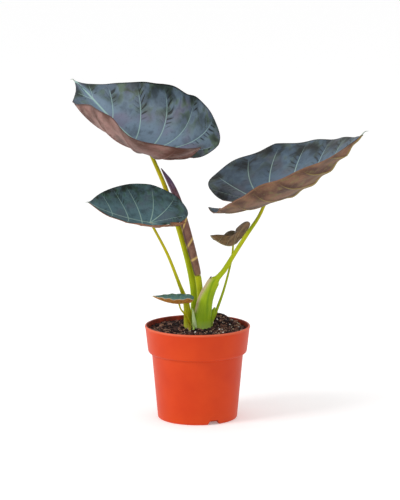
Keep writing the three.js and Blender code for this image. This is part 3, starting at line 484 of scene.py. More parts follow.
def frames_along(stations, steps, look):
    """Each place on a smooth path, with its directions across and inward: inward is square to the
    path and as near as can be to the way it looks."""
    path, slopes = smooth_path(stations, steps)
    look = np.array(look, float) / np.linalg.norm(look)
    for place, slope in zip(path, slopes[:, :3]):
        tangent = slope / np.linalg.norm(slope)
        inward = look - tangent * (look @ tangent)
        inward /= np.linalg.norm(inward)
        yield place, np.cross(inward, tangent), inward


def ramp(x, start, end):
    """How far x has come from start to end, from 0 to 1."""
    return ((x - start) / (end - start)).clip(0, 1)


def stem_rings(facing, stations):
    """Rings up a stem, fluted along its back, with a face that bulges or is a sheath's hollow."""
    turns = (np.arange(STEM_SIDES) + 0.5) * 2 * math.pi / STEM_SIDES
    rings = []
    sine = np.sin(turns)
    groove = 1 + STEM_FLUTE * np.cos(turns * STEM_FLUTES)
    for (x, y, z, half, back, face), across, inward in frames_along(stations, STEM_STEPS, facing):
        depth = np.where(sine > 0, face * sine + SHEATH_EDGE, back * sine * groove)
        width = half * groove * np.cos(turns)
        rings.append(np.array([x, y, z]) + np.outer(width, across) + np.outer(depth, inward))
    return rings


def tapered_tube(stations, sides=12):
    """A thin closed body round a smooth path, through stations of x, y, z and radius."""
    turns = np.arange(sides) * 2 * math.pi / sides
    rings = [place[:3] + place[3] * (np.outer(np.cos(turns), across)
                                     + np.outer(np.sin(turns), inward))
             for place, across, inward in frames_along(stations, 6, (0, 1, 0))]
    return ringed_body(rings, tuple(stations[0][:3]), tuple(stations[-1][:3]))


# Living stalk tissue: smooth, moist and slightly translucent, pale green where it leaves the mix
# and yellow-green above, with fine lighter lines along it and a soft waxy gloss.
stalk_skin, tree, shader = new_material(
    "fresh_stalk_tissue", Roughness=0.45, IOR=1.42, Specular_IOR_Level=0.2)
place = add_node(tree, "ShaderNodeTexCoord").outputs["Object"]
height = add_node(tree, "ShaderNodeSeparateXYZ", {0: place}).outputs["Z"]
rise = add_node(tree, "ShaderNodeMapRange", {"Value": height, "From Min": 0.085, "From Max": 0.235})
greens = add_node(tree, "ShaderNodeValToRGB", {0: rise}, [
    (0.0, "#a9c878"), (0.1, "#86ae18"), (0.35, "#9cb206"), (0.6, "#a8b002"), (1.0, "#aa9c04")])
around = add_node(tree, "ShaderNodeAttribute", attribute_name="around").outputs["Fac"]
lines_at = add_node(tree, "ShaderNodeCombineXYZ", {"X": around, "Y": height})
stretched = add_node(tree, "ShaderNodeMapping", {"Vector": lines_at, "Scale": (9, 12, 1)})
lines = add_node(tree, "ShaderNodeTexNoise", {"Vector": stretched, "Scale": 3.0, "Detail": 3.0})
blotch = add_node(tree, "ShaderNodeTexNoise", {"Vector": place, "Scale": 1000 / 22})
tints = [(add_node(tree, "ShaderNodeMapRange", {
    "Value": value, "From Min": start, "From Max": 0.75, "To Max": most}), code)
    for value, start, most, code in (
        (lines, 0.35, 0.35, "#bcc62c"), (blotch, 0.45, 0.5, "#668e08"))]
# Painted shade darkens a sheath's crease to a deeper green, ripening turns a stalk yellow and a
# painted highlight yellows the right stalk's lit side, a sheath's free edge is dry and cream, an
# outer sheath is pale, and a dead tip is nearly black.
tints += [(add_node(tree, "ShaderNodeAttribute", attribute_name=word).outputs["Fac"], code)
          for word, code in (("crease_shade", "#5f8a0c"), ("ripe_and_lit_side", "#b89a0c"), ("dry_edge", "#cdb79a"),
                             ("pale_foot", "#c6dba4"), ("dead_tip", "#4a3a34"))]
skin = greens
for share, code in tints:
    skin = add_node(tree, "ShaderNodeMix", {"Factor": share, "A": skin, "B": linear(code)},
                    data_type="RGBA")
surfaced(tree, shader, skin, lines, 0.25, 0.0004)

RIPENESS = {"upper_left": 0.1, "right": 0.0, "middle_left": 0.45, "small_right": 0.15,
            "small_left": 0.6, "rolled_leaf": 0.25}
for name, stem in STEMS.items():
    rings = stem_rings(**stem)
    points, faces = ringed_body(rings)
    stalk = make_piece("petiole_" + name + "_stalk", points, faces, [stalk_skin])
    turns = (np.arange(STEM_SIDES) + 0.5) / STEM_SIDES
    add_values(stalk, "around", np.tile(np.abs(turns - 0.5) * 2, len(rings)))
    ripe_and_lit_side = np.full(len(points), RIPENESS[name])
    if name == "right":
        heights = np.array(points)[:, 2]
        across = np.tile(np.cos(turns * 2 * math.pi), len(rings))
        # Above its sheath, a painted highlight turns this stalk's lit right side golden.
        ripe_and_lit_side += 0.5 * across.clip(0) * ramp(heights, 145, 165)
        # The stalk proper stands out of its sheath, behind a crease that starts under the tip;
        # painted shade darkens that crease.
        crease_at = np.interp(heights, (104, 122, 142), (0.45, 0.15, -0.35))
        reach = ramp(heights, 104, 112) * ramp(heights, 143, 140)
        crease_shade = np.exp(-((across - crease_at) / 0.13) ** 2) * reach * (across > -0.95)
        add_values(stalk, "crease_shade", 0.75 * crease_shade)
        cream = 0.6 * ramp(across, -0.72, -0.92)
        cream += 0.35 * ramp(across, -0.3, -0.8) * ramp(heights, 120, 135)
        add_values(stalk, "dry_edge", cream * reach)
    add_values(stalk, "ripe_and_lit_side", ripe_and_lit_side)
    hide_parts("petiole_" + name)
    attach(stalk, "root")

# The sheaths' papery remnants: the dry cream free edge of the clasping sheath with its black tip,
# the tip of the small right leaf's sheath, a pale outer sheath, and a green shoot before them.
LEFT_EDGE = STEM_SIDES // 2
clasp = [ring[LEFT_EDGE] for ring in stem_rings(**STEMS["right"])]
free_edge = [(*p, 0.35 + 0.55 * min(1, (p[2] - 104) / 12)) for p in clasp if 106 < p[2] < 141][::6]
free_edge.append((13.3, -5, 143.4, 0.5))
free_edge.append((13.9, -5, 144.6, 0.15))
REMNANTS = {
    "clasping_sheath_edge": (free_edge, "dry_edge"),
    "small_right_sheath_tip": (
        [(12.8, 3.4, 94, 2.3), (14, 3, 101, 2.4), (15.8, 3, 107, 2), (17.4, 3, 111, 0.8)], None),
    "pale_outer_sheath": (
        [(-2.2, -7.6, 92, 2.4), (-3.4, -8.3, 100, 1.9), (-4.4, -8, 107, 1.1),
         (-4.9, -7.6, 112, 0.3)], "pale_foot"),
    "green_shoot": (
        [(-4.6, -12, 84, 1.1), (-4.3, -12.2, 89, 1.3), (-3.6, -11.8, 92.5, 0.9),
         (-2.9, -11.5, 95, 0.2)], None),
}
for name, (stations, word) in REMNANTS.items():
    points, faces = tapered_tube(stations)
    remnant = make_piece(name, points, faces, [stalk_skin])
    add_values(remnant, "around", np.zeros(len(points)))
    if word:
        add_values(remnant, word, np.full(len(points), 0.85))
    if word == "dry_edge":
        heights = np.array(points)[:, 2]
        add_values(remnant, "dead_tip", 0.9 * ramp(heights, 141.6, 142.68))
    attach(remnant, "root")

# The leaf blades: shield-shaped leaves 0.6 mm thick, which grew with their petioles. They are
# quilted between sunken pale veins, with thick ribs on the underside and a fine pointed tip.
BLADE_THICKNESS = 0.62  # the ribs add to it
FULL_LENGTH = 130  # of the blade that the widths and heights below are right for
ROWS_PER_GAP = 20  # between two side veins
COLUMNS = 56  # from the midrib to the margin
PUCKER_SPACING = 5.6
PUCKER_HEIGHT = 0.5
PILLOW_HEIGHT = 1.6  # of the tissue between two veins
RIPPLE_HEIGHT = 1.5  # of the waves at the margin
RIPPLE_WAVES = 41  # radians along each half's margin
NOTCH_END = -0.17  # where the notch between the lobes ends
HALF_WIDTH = 0.575
# Half of the flat outline, along and off the midrib, as shares of the length from stalk to tip.
HALF_OUTLINE = [
    (NOTCH_END, 0), (-0.27, 0.035), (-0.42, 0.12), (-0.53, 0.25), (-0.53, 0.38), (-0.42, 0.49),
    (-0.22, 0.56), (0, HALF_WIDTH), (0.22, 0.535), (0.45, 0.43), (0.66, 0.29), (0.82, 0.155),
    (0.92, 0.06), (1, 0)]
# Each leaf, in millimetres and degrees. It meets its stalk at a place, and has a heading, a rise
# and a roll. Its midrib has an arch, a droop and a twist, and lobe_arch bends the lobes behind the
# stalk. Width and lobe stretch the outline. Wave, pucker and belly say how strong the relief is.
# Side veins end at the given shares of the margin, and vein_start, vein_spread and vein_bend say
# how they run. Each half is lifted and cupped off the midrib, with more of it towards the tip or
# the lobe, and it tapers. The hair is the drip tip: each step from the blade's tip, and a radius.
BLADES = {
    "upper_left": dict(
        length=139.4, at=(-48.8, -0.3, 270.9), heading=134.8, rise=16.6, roll=-38.9, arch=43.7,
        droop=-34.5, lobe_arch=80.5, twist=-18.3, width=0.941, lobe=0.905, vein_start=0.62,
        vein_spread=1.71, vein_bend=0.16, wave=1, pucker=1, belly=0,
        hair=[(-1.9, 1.6, 1.5, 0.4), (-4.6, 3.1, 1.2, 0.15)],
        veins=(0.1, 0.2, 0.302, 0.457, 0.618, 0.745, 0.857, 0.935),
        left=dict(lift=-43.2, lift_tip=-18.9, lift_lobe=-38.9, cup=77.9, cup_tip=118.6,
                  cup_lobe=-1.8, curl=70.7, taper=0.44, lobe_narrow=0.4),
        right=dict(lift=49.2, lift_tip=21.8, lift_lobe=-49.3, cup=93.6, cup_tip=11.7,
                   cup_lobe=25.2, curl=-1.8, taper=0.63, lobe_narrow=-0.39)),
    "right": dict(
        length=142.2, at=(66.8, 0.2, 217.6), heading=-21.7, rise=14.5, roll=-37, arch=75.6,
        droop=-40, lobe_arch=52, twist=3.1, width=1.044, lobe=0.861, vein_start=0.48,
        vein_spread=1.04, vein_bend=0.2, wave=0.8, pucker=0.25, belly=2.2,
        hair=[(2.6, -1.5, 2.9, 0.4), (5.9, -2.6, 3.5, 0.15)],
        veins=(0.1, 0.18, 0.264, 0.4, 0.516, 0.61, 0.711, 0.8, 0.89),
        left=dict(lift=-4.6, lift_tip=-18, lift_lobe=-6.1, cup=8.2, cup_tip=8.9,
                  cup_lobe=-4.7, curl=-36, taper=-0.01, lobe_narrow=0.12),
        right=dict(lift=27.8, lift_tip=3.2, lift_lobe=-8, cup=31.1, cup_tip=54.8,
                   cup_lobe=-1.9, curl=106, taper=-0.08, lobe_narrow=0.05)),
    "middle_left": dict(
        length=74.7, at=(-46.6, -39.5, 203.3), heading=195, rise=12, roll=59.7, arch=27.5,
        droop=14.5, lobe_arch=5.6, twist=-15.1, width=1.016, lobe=1.041, vein_start=0.566,
        vein_spread=1.42, vein_bend=0.17, wave=0.5, pucker=0.4, belly=0,
        hair=[(-1.6, -1.2, 0.2, 0.25), (-3, -2, 0.1, 0.1)],
        veins=(0.1, 0.2, 0.344, 0.498, 0.658, 0.752, 0.85),
        left=dict(lift=47.1, lift_tip=6.4, lift_lobe=38, cup=33.9, cup_tip=11.1,
                  cup_lobe=-5.2, curl=150, taper=0.01, lobe_narrow=1.3),
        right=dict(lift=-15.4, lift_tip=-8.3, lift_lobe=-1.8, cup=16.2, cup_tip=0.5,
                   cup_lobe=2.5, curl=-22.5, taper=-0.06, lobe_narrow=0.03)),
    "small_right": dict(
        length=34.9, at=(35.8, 19.1, 171.7), heading=225.5, rise=-8.7, roll=-5.3, arch=94.8,
        droop=-49.2, lobe_arch=40.9, twist=3.9, width=0.947, lobe=1.01, vein_start=0.5,
        vein_spread=1.2, vein_bend=0.15, wave=0.5, pucker=0, belly=0, hair=[],
        veins=(0.15, 0.33, 0.5, 0.68, 0.84),
        left=dict(lift=74.9, lift_tip=-18.7, lift_lobe=19.3, cup=-25.9, cup_tip=-91.3,
                  cup_lobe=-4.3, curl=-97.7, taper=-0.48, lobe_narrow=-0.78),
        right=dict(lift=16.4, lift_tip=9.5, lift_lobe=32.1, cup=-2.6, cup_tip=0,
                   cup_lobe=1.5, curl=46.4, taper=0, lobe_narrow=-0.11)),
    "small_left": dict(
        length=27.1, at=(-18.6, -27, 120.8), heading=176.8, rise=1.4, roll=-12.1, arch=27.7,
        droop=0, lobe_arch=4.6, twist=-2.3, width=1.01, lobe=1.02, vein_start=0.5,
        vein_spread=1.2, vein_bend=0.15, wave=1.6, pucker=0, belly=0, hair=[],
        veins=(0.15, 0.33, 0.5, 0.68, 0.84),
        left=dict(lift=13.2, lift_tip=6.6, lift_lobe=14, cup=-3.9, cup_tip=1.4,
                  cup_lobe=2, curl=0, taper=0, lobe_narrow=0),
        right=dict(lift=33.4, lift_tip=9.9, lift_lobe=10.6, cup=6.6, cup_tip=1,
                   cup_lobe=2, curl=0, taper=0, lobe_narrow=0)),
}
outline_points = smooth_path(HALF_OUTLINE, 60)[0]
outline_share = np.r_[0, np.cumsum(np.linalg.norm(np.diff(outline_points, axis=0), axis=1))]
outline_share /= outline_share[-1]


def flat_blade(leaf, half, m, j):
    """Flat places at share j along the side veins that meet the margin at shares m."""
    u = np.interp(m, outline_share, outline_points[:, 0])
    v = np.interp(m, outline_share, outline_points[:, 1]).clip(0) * leaf["width"]
    v = v * (1 - half["taper"] * u.clip(0) ** 3) * (1 - half["lobe_narrow"] * (-u).clip(0))
    u = np.where(u < 0, u * leaf["lobe"], u)
    start = ramp(m, leaf["vein_start"], 1) ** leaf["vein_spread"]
    bend = leaf["vein_bend"] * ramp(m, 0.15, 0.4) * ramp(m, 1, 0.85) * np.hypot(u - start, v)
    middle = (start + u) / 2 - bend
    k = 1 - j
    return k * k * start + 2 * j * k * middle + j * j * u, j * k * v + j * j * v


def blade_turn(leaf):
    """The matrix that turns a blade laid along x to its heading, rise and roll."""
    a, b, c = (math.radians(leaf[name]) for name in ("heading", "rise", "roll"))
    turn_z = np.array([[math.cos(a), -math.sin(a), 0], [math.sin(a), math.cos(a), 0], [0, 0, 1]])
    turn_y = np.array([[math.cos(b), 0, -math.sin(b)], [0, 1, 0], [math.sin(b), 0, math.cos(b)]])
    turn_x = np.array([[1, 0, 0], [0, math.cos(c), math.sin(c)], [0, -math.sin(c), math.cos(c)]])
    return turn_z @ turn_y @ turn_x


def bent_blade(leaf, half, side, u, v):
    """Where flat places come to lie on the bent and placed blade, in millimetres."""
    def slope(s):
        past = leaf["lobe_arch"] * s - half["curl"] * (NOTCH_END - s).clip(0)
        return np.radians(np.where(s >= 0, leaf["arch"] * s + leaf["droop"] * s * s, past))
    x, z = 0, 0
    for k in range(24):
        tilt = slope(u * (k + 0.5) / 24)
        x, z = x + np.cos(tilt) * u / 24, z + np.sin(tilt) * u / 24
    tilt, twist = slope(u), np.radians(leaf["twist"]) * u
    lobe, tip = (-u).clip(0), u.clip(0)
    lift = np.radians(half["lift"] + half["lift_tip"] * tip + half["lift_lobe"] * lobe)
    cup = np.radians(half["cup"] + half["cup_tip"] * tip + half["cup_lobe"] * lobe)
    bend = cup * v / HALF_WIDTH / 2
    chord = np.sinc(bend / math.pi) * v
    across, up = chord * np.cos(lift + bend), chord * np.sin(lift + bend)
    lateral = side * across * np.cos(twist) - up * np.sin(twist)
    height = side * across * np.sin(twist) + up * np.cos(twist)
    bent = np.stack([x - height * np.sin(tilt), lateral, z + height * np.cos(tilt)], -1)
    return bent * leaf["length"] @ blade_turn(leaf).T + np.array(leaf["at"])


def vein_rows(leaf):
    """Shares of the margin for the rows of a blade's mesh, with the nearest vein of each gap
    between rows. Rows lie on every vein and are closest beside it."""
    shares, nearest = [0.0], []
    stops = [0.0, *leaf["veins"], 1.0]
    for k, (low, high) in enumerate(zip(stops, stops[1:])):
        t = np.linspace(0, 1, ROWS_PER_GAP + 1)[1:]
        eased = 0.45 * t + 0.55 * (0.5 - 0.5 * np.cos(math.pi * t))
        shares += list(low + (high - low) * eased)
        nearest += [k if t_mid < 0.5 else k + 1 for t_mid in t - 0.5 / ROWS_PER_GAP]
    return np.array(shares), np.array(nearest), np.array(stops)


def face_normals_at_points(points, faces):
    """The mean direction at each point of the faces round it."""
    quads = np.array([f if len(f) == 4 else (*f, f[0]) for f in faces])
    a, b, c, d = (points[quads[:, k]] for k in range(4))
    normal = np.cross(c - a, d - b)
    total = np.zeros_like(points)
    for k in range(4):
        np.add.at(total, quads[:, k], normal)
    return total / np.linalg.norm(total, axis=1, keepdims=True).clip(1e-9)


def blade_sheet(leaf):
    """The middle surface of a blade: its points with their relief and place, its faces with the
    place of each corner beside a vein, and its rim."""
    m, nearest, stops = vein_rows(leaf)
    j = np.linspace(0, 1, COLUMNS) ** 0.92
    length = leaf["length"]
    size = length / FULL_LENGTH
    known, points, values, faces, corners, margins = {}, [], [], [], [], []
    for side in (1, -1):
        half = leaf["left"] if side > 0 else leaf["right"]
        M, J = np.meshgrid(m, j, indexing="ij")
        U, V = flat_blade(leaf, half, M, J)
        P = bent_blade(leaf, half, side, U, V)
        gap = np.clip(np.searchsorted(stops, M, side="right") - 1, 0, len(stops) - 2)
        share = (M - stops[gap]) / (stops[gap + 1] - stops[gap])
        between = np.sin(math.pi * share) ** 0.9 * ramp(J, 0, 0.4) ** 2
        pillow = between * PILLOW_HEIGHT * np.sin(math.pi * J) ** 0.6
        ripple = RIPPLE_HEIGHT * J ** 4 * np.sin(M * RIPPLE_WAVES) * np.minimum(1, 3.5 * (1 - M))
        # Puckers: short folds that slant outwards off each side vein's outer half.
        vein_at = stops[np.where(share < 0.5, gap, gap + 1)]
        on_vein = flat_blade(leaf, half, vein_at, J)
        away = np.hypot(U - on_vein[0], V - on_vein[1]) * length
        along = length * J * np.hypot(on_vein[0][:, -1:] - on_vein[0][:, :1], on_vein[1][:, -1:])
        uneven = 2.2 * size * smooth_noise(U * length, V * length, 12 * size, 8)
        fold = np.sin((along - 0.8 * away + uneven) * 2 * math.pi / (PUCKER_SPACING * size))
        beside_vein = ramp(away / size, 0.4, 1.6) * ramp(away / size, 11.5, 5.5)
        outer = ramp(J, 0.4, 0.6) * ramp(J, 1, 0.92)
        stronger = np.where(share < 0.5, 0.45, 1.0)
        patchy = (0.75 + 0.5 * smooth_noise(U * length, V * length, 25 * size, 9)).clip(0, 1)
        pucker = fold * beside_vein * outer * stronger * patchy
        pucker = pucker * ((M > leaf["veins"][0]) & (M < 0.97))
        lift = (pillow + ripple) * leaf["wave"] * size
        lift = lift - PUCKER_HEIGHT * pucker * leaf["pucker"] * size
        # The tissue sags out between the veins where the fold is seen from below.
        sag = np.sin(math.pi * (U - 0.12) / 0.19) ** 2 * np.minimum(1, 12 * (U - 0.12).clip(0))
        sag = sag * np.minimum(1, 8 * (1 - U)) * np.exp(-(V * length / 9) ** 2)
        lift = lift - leaf["belly"] * sag
        ids = np.zeros(M.shape, int)
        for r in range(len(m)):
            for c in range(COLUMNS):
                u, v = U[r, c], V[r, c]
                key = (side if v > 1e-6 else 0, round(u, 6), round(v, 6))
                if key not in known:
                    known[key] = len(points)
                    points.append(P[r, c])
                    values.append((lift[r, c], u * length, v * length, J[r, c], pucker[r, c]))
                ids[r, c] = known[key]
        for r in range(len(m) - 1):
            vein = stops[nearest[r]]
            vein_u, vein_v = flat_blade(leaf, half, np.full(COLUMNS, vein), j)
            beside = [np.hypot(U[end] - vein_u, V[end] - vein_v) * length * np.sign(m[end] - vein)
                      for end in (r, r + 1)]
            along = np.r_[0, np.cumsum(np.hypot(np.diff(vein_u), np.diff(vein_v)))] * length
            for c in range(COLUMNS - 1):
                quad = [(ids[r + a, c + b], beside[a][c + b], along[c + b])
                        for a, b in ((0, 0), (1, 0), (1, 1), (0, 1))[::side]]
                kept = [q for k, q in enumerate(quad) if q[0] != quad[k - 1][0]]
                if len({q[0] for q in kept}) > 2:
                    faces.append(tuple(q[0] for q in kept))
                    corners.append([(q[1], q[2]) for q in kept])
        margins.append(ids[:, -1])
    rim = [*margins[0], *margins[1][1:-1][::-1]]
    return np.array(points), np.array(values), faces, corners, rim


def make_blade(name, leaf, skins):
    """A blade with its ribs, which are sunk in its upper side and stand out of its underside."""
    points, values, faces, corners, rim = blade_sheet(leaf)
    lift, u, v, j, pucker = values.T
    size = leaf["length"] / FULL_LENGTH
    points = points + face_normals_at_points(points, faces) * lift[:, None]
    normals = face_normals_at_points(points, faces)
    # How far each point is from the vein that its faces belong to.
    beside = np.full(len(points), 99.0)
    for face, face_corners in zip(faces, corners):
        for index, (distance, _) in zip(face, face_corners):
            beside[index] = min(beside[index], abs(distance))
    thinning = 0.25 + 0.85 * (1 - j) ** 1.5
    vein = np.exp(-(beside / (1.1 * size + 0.2)) ** 2) * thinning * size
    to_tip = (1 - (u / leaf["length"]).clip(0)) ** 1.3
    midrib = np.where(u > -0.5, 1, 0) * (0.6 + 1.5 * to_tip) * size
    midrib = midrib * np.exp(-(v / (0.5 * midrib + 0.7 * size)) ** 2)
    sunk = 0.22 * np.exp(-(beside / (1.6 * size)) ** 2) * thinning * size
    top = points + normals * (BLADE_THICKNESS / 2 - sunk)[:, None]
    bottom = points - normals * (BLADE_THICKNESS / 2 + np.maximum(vein, midrib))[:, None]
    count = len(points)
    under = [tuple(count + k for k in reversed(face)) for face in faces]
    edge = [(count + a, count + b, b, a) for a, b in zip(rim, rim[1:] + rim[:1])]
    blade = make_piece("blade_" + name + "_leaf", np.vstack([top, bottom]),
                       faces + under + edge, skins)
    blade.data.polygons.foreach_set(
        "material_index", [0] * len(faces) + [1] * (len(under) + len(edge)))
    veins_at = [p for face in corners for p in face]
    veins_at += [p for face in corners for p in reversed(face)]
    veins_at += [(9, 0)] * (4 * len(edge))
    flat = [(u[k % count], v[k % count]) for face in faces + under + edge for k in face]
    for layer, table in (("vein_map", veins_at), ("flat_map", flat)):
        blade.data.uv_layers.new(name=layer).data.foreach_set("uv", np.array(table).ravel())
    add_values(blade, "outward", np.r_[j, j])
    add_values(blade, "pucker", np.r_[pucker, -pucker])
    return blade


def trim_stalk(stalk, leaf):
    """Ends the stalk's top square to the blade's fold, in the rib on its underside."""
    left, right = (math.radians(leaf[side]["lift"]) for side in ("left", "right"))
    up = np.array([0, math.sin(right) - math.sin(left), math.cos(left) + math.cos(right)])
    up = blade_turn(leaf) @ (up / np.linalg.norm(up))
    depth = BLADE_THICKNESS / 2 + 0.9 * leaf["length"] / FULL_LENGTH
    points = np.array([v.co for v in stalk.data.vertices]) / MM
    top, below = points[-STEM_SIDES:].mean(0), points[-3 * STEM_SIDES:-2 * STEM_SIDES].mean(0)
    along = (top - below) / np.linalg.norm(top - below)
    over = (points - np.array(leaf["at"])) @ up + depth
    near = np.linalg.norm(points - top, axis=1) < 12
    back = np.where(near, over.clip(0), 0) / max(0.3, along @ up)
    stalk.data.vertices.foreach_set("co", ((points - back[:, None] * along) * MM).ravel())
    stalk.data.update()


def coated(tree, skin, *coats):
    """Coats of colour over a skin, each with a hex value, a strength and bounds. A bound is a value
    and the two ends between which the coat comes in. A coat shows where all its bounds let it."""
    for code, share, *bounds in coats:
        for value, start, end in bounds:
            inside = add_node(tree, "ShaderNodeMapRange", {
                "Value": value, "From Min": start, "From Max": end},
                interpolation_type="SMOOTHSTEP")
            share = add_node(tree, "ShaderNodeMath", {0: inside, 1: share}, operation="MULTIPLY")
        skin = add_node(tree, "ShaderNodeMix", {"Factor": share, "A": skin, "B": linear(code)},
                        data_type="RGBA")
    return skin


def blade_places(tree, vein_base, vein_end):
    """What both faces of a blade's finish read: the distance from the nearest side vein in
    millimetres and in half widths of that vein, the distance from the midrib, the place on the
    flat blade, and the share of the way out to the margin."""
    flat = add_node(tree, "ShaderNodeUVMap", uv_map="flat_map")
    beside = add_node(tree, "ShaderNodeUVMap", uv_map="vein_map")
    at_vein = add_node(tree, "ShaderNodeSeparateXYZ", {0: beside}).outputs["X"]
    at_midrib = add_node(tree, "ShaderNodeSeparateXYZ", {0: flat}).outputs["Y"]
    from_vein = add_node(tree, "ShaderNodeMath", {0: at_vein}, operation="ABSOLUTE")
    from_midrib = add_node(tree, "ShaderNodeMath", {0: at_midrib}, operation="ABSOLUTE")
    outward = add_node(tree, "ShaderNodeAttribute", attribute_name="outward").outputs["Fac"]
    width = add_node(tree, "ShaderNodeMapRange", {
        "Value": outward, "From Max": 0.95, "To Min": vein_base, "To Max": vein_end},
        interpolation_type="SMOOTHSTEP")
    in_widths = add_node(tree, "ShaderNodeMath", {0: from_vein, 1: width}, operation="DIVIDE")
    return from_vein, in_widths, from_midrib, flat, outward


# The leaf's upper side: a waxy satin skin, dark blue-green with a metallic grey bloom. Greener and
# darker tones lie between the pale veins. Painted shade darkens the blade towards its margin, and
# painted shadow makes its puckers beside the veins nearly black.
def upper_skin(name, leaf, bloom, violet, green, dark, vein, margin_shade, pucker_shadow):
    material, tree, shader = new_material(name, Roughness=0.5, IOR=1.45, Specular_IOR_Level=0.3)
    size = leaf["length"] / FULL_LENGTH
    _, in_widths, from_midrib, flat, outward = blade_places(tree, 0.9 * size + 0.12, 0.3 * size)
    shifted = add_node(tree, "ShaderNodeMapping", {"Vector": flat, "Location": (90, 40, 0)})
    broad, middle, cloud, fine = (add_node(tree, "ShaderNodeTexNoise", {
        "Vector": at, "Scale": 1 / (grain * size), "Detail": detail, "Distortion": warp})
        for at, grain, detail, warp in (
            (flat, 34, 2.0, 0.0), (flat, 13, 3.0, 0.5), (shifted, 17, 3.0, 0.0),
            (flat, 3.2, 3.0, 0.0)))
    pucker = add_node(tree, "ShaderNodeAttribute", attribute_name="pucker").outputs["Fac"]
    skin = coated(
        tree, linear(bloom),
        (violet, 0.7, (broad, 0.46, 0.62)),
        (green, 0.85, (middle, 0.42, 0.62), (outward, 0.3, 0.9)),
        # Painted shade: dark blotches towards the margin.
        (dark, margin_shade, (outward, 0.35, 0.95), (cloud, 0.66, 0.36)),
        (dark, 0.4, (middle, 0.56, 0.36), (cloud, 0.45, 0.6)),
        # Painted shadow: the puckers' folds darkened beside the veins.
        (dark, pucker_shadow, (pucker, 0.08, 0.55)),
        (dark, 0.2, (fine, 0.5, 0.75)),
        (vein, 0.85, (in_widths, 1.0, 0.4), (outward, 0.97, 0.72)),
        (vein, 0.85, (from_midrib, 1.2 * size, 0.5 * size)),
        (dark, 0.8, (outward, 0.975, 0.995)))
    net = add_node(tree, "ShaderNodeTexVoronoi", {
        "Vector": flat, "Scale": 1 / (3.4 * size)}, feature="DISTANCE_TO_EDGE")
    quilt = add_node(tree, "ShaderNodeMath", {0: fine, 1: net}, operation="ADD")
    surfaced(tree, shader, skin, quilt, 0.3, 0.0004)
    return material


# The leaf's underside: matt, brown-purple from the red pigment that such leaves carry there, with
# paler yellowish or pinkish ribs, olive patches, and a reddish brown line at the margin.
def under_skin(name, leaf, brown, deep, olive, rib, margin):
    material, tree, shader = new_material(name, Roughness=0.62, IOR=1.42, Specular_IOR_Level=0.35)
    size = leaf["length"] / FULL_LENGTH
    from_vein, in_widths, from_midrib, flat, outward = blade_places(
        tree, 1.3 * size + 0.1, 0.4 * size)
    broad, middle = (add_node(tree, "ShaderNodeTexNoise", {
        "Vector": flat, "Scale": 1 / (grain * size), "Detail": detail})
        for grain, detail in ((24, 3.0), (7, 4.0)))
    net = add_node(tree, "ShaderNodeTexVoronoi", {
        "Vector": flat, "Scale": 1 / (3.0 * size)}, feature="DISTANCE_TO_EDGE")
    skin = coated(
        tree, linear(brown),
        (deep, 1.0, (broad, 0.38, 0.62)),
        (olive, 0.6, (middle, 0.5, 0.68)),
        # Partly the tissue's own redder tone beside the ribs, and partly painted shade in the folds
        # beside them.
        (deep, 0.45, (from_vein, 5 * size, 1.5 * size)),
        (deep, 0.22, (net, 0.09, 0.02)),
        (rib, 0.75, (in_widths, 1.1, 0.4), (outward, 1.0, 0.6)),
        (rib, 0.7, (from_midrib, 2.2 * size, 1.2 * size)),
        (margin, 0.8, (outward, 0.97, 0.995)))
    surfaced(tree, shader, skin, net, 0.35, 0.0006)
    return material


# Each leaf's own colours, of its upper side and of its underside, with the strengths of the painted
# shade near its margin and in its puckers.
LEAF_COLOURS = {
    "upper_left": (
        dict(bloom="#6c8092", violet="#6d687e", green="#4e6146", dark="#141c1b", vein="#98b8b0",
             margin_shade=0.85, pucker_shadow=0.9),
        dict(brown="#8c6860", deep="#54342a", olive="#7c6458", rib="#9a7468", margin="#4a2c24")),
    "right": (
        dict(bloom="#586e82", violet="#5a5a64", green="#4c5a50", dark="#0c1212", vein="#9cb8ae",
             margin_shade=1.0, pucker_shadow=0.7),
        dict(brown="#7a563e", deep="#4a2d1e", olive="#72683a", rib="#8f7e3c", margin="#80583e")),
    "middle_left": (
        dict(bloom="#57767e", violet="#586672", green="#3e5f4c", dark="#101a17", vein="#a2c2b4",
             margin_shade=0.9, pucker_shadow=0.65),
        dict(brown="#8a5a3a", deep="#653c26", olive="#7c6a38", rib="#a07850", margin="#7a4a30")),
    "small_right": (
        dict(bloom="#6a5a44", violet="#604e3c", green="#5e583a", dark="#30261a", vein="#9a967c",
             margin_shade=0.5, pucker_shadow=0.0),
        dict(brown="#7a5c3a", deep="#543e26", olive="#726a44", rib="#9a8e66", margin="#2c2018")),
    "small_left": (
        dict(bloom="#5a8484", violet="#4c7474", green="#5a7c58", dark="#26382e", vein="#9ab89c",
             margin_shade=0.6, pucker_shadow=0.0),
        dict(brown="#b0702c", deep="#8f5a20", olive="#b08c2c", rib="#c09a50", margin="#a8a088")),
}

# The drip tips: fine hairs that end the blades, dry and pale grey-green at their ends.
dry_tip, tree, shader = new_material("dry_drip_tip", Roughness=0.6)
place = add_node(tree, "ShaderNodeTexCoord").outputs["Object"]
mottle = add_node(tree, "ShaderNodeTexNoise", {"Vector": place, "Scale": 1000 / 1.5})
dry = add_node(tree, "ShaderNodeValToRGB", {0: mottle}, [(0.4, "#66766c"), (0.6, "#9aa496")])
tree.links.new(dry.outputs[0], shader.inputs["Base Color"])

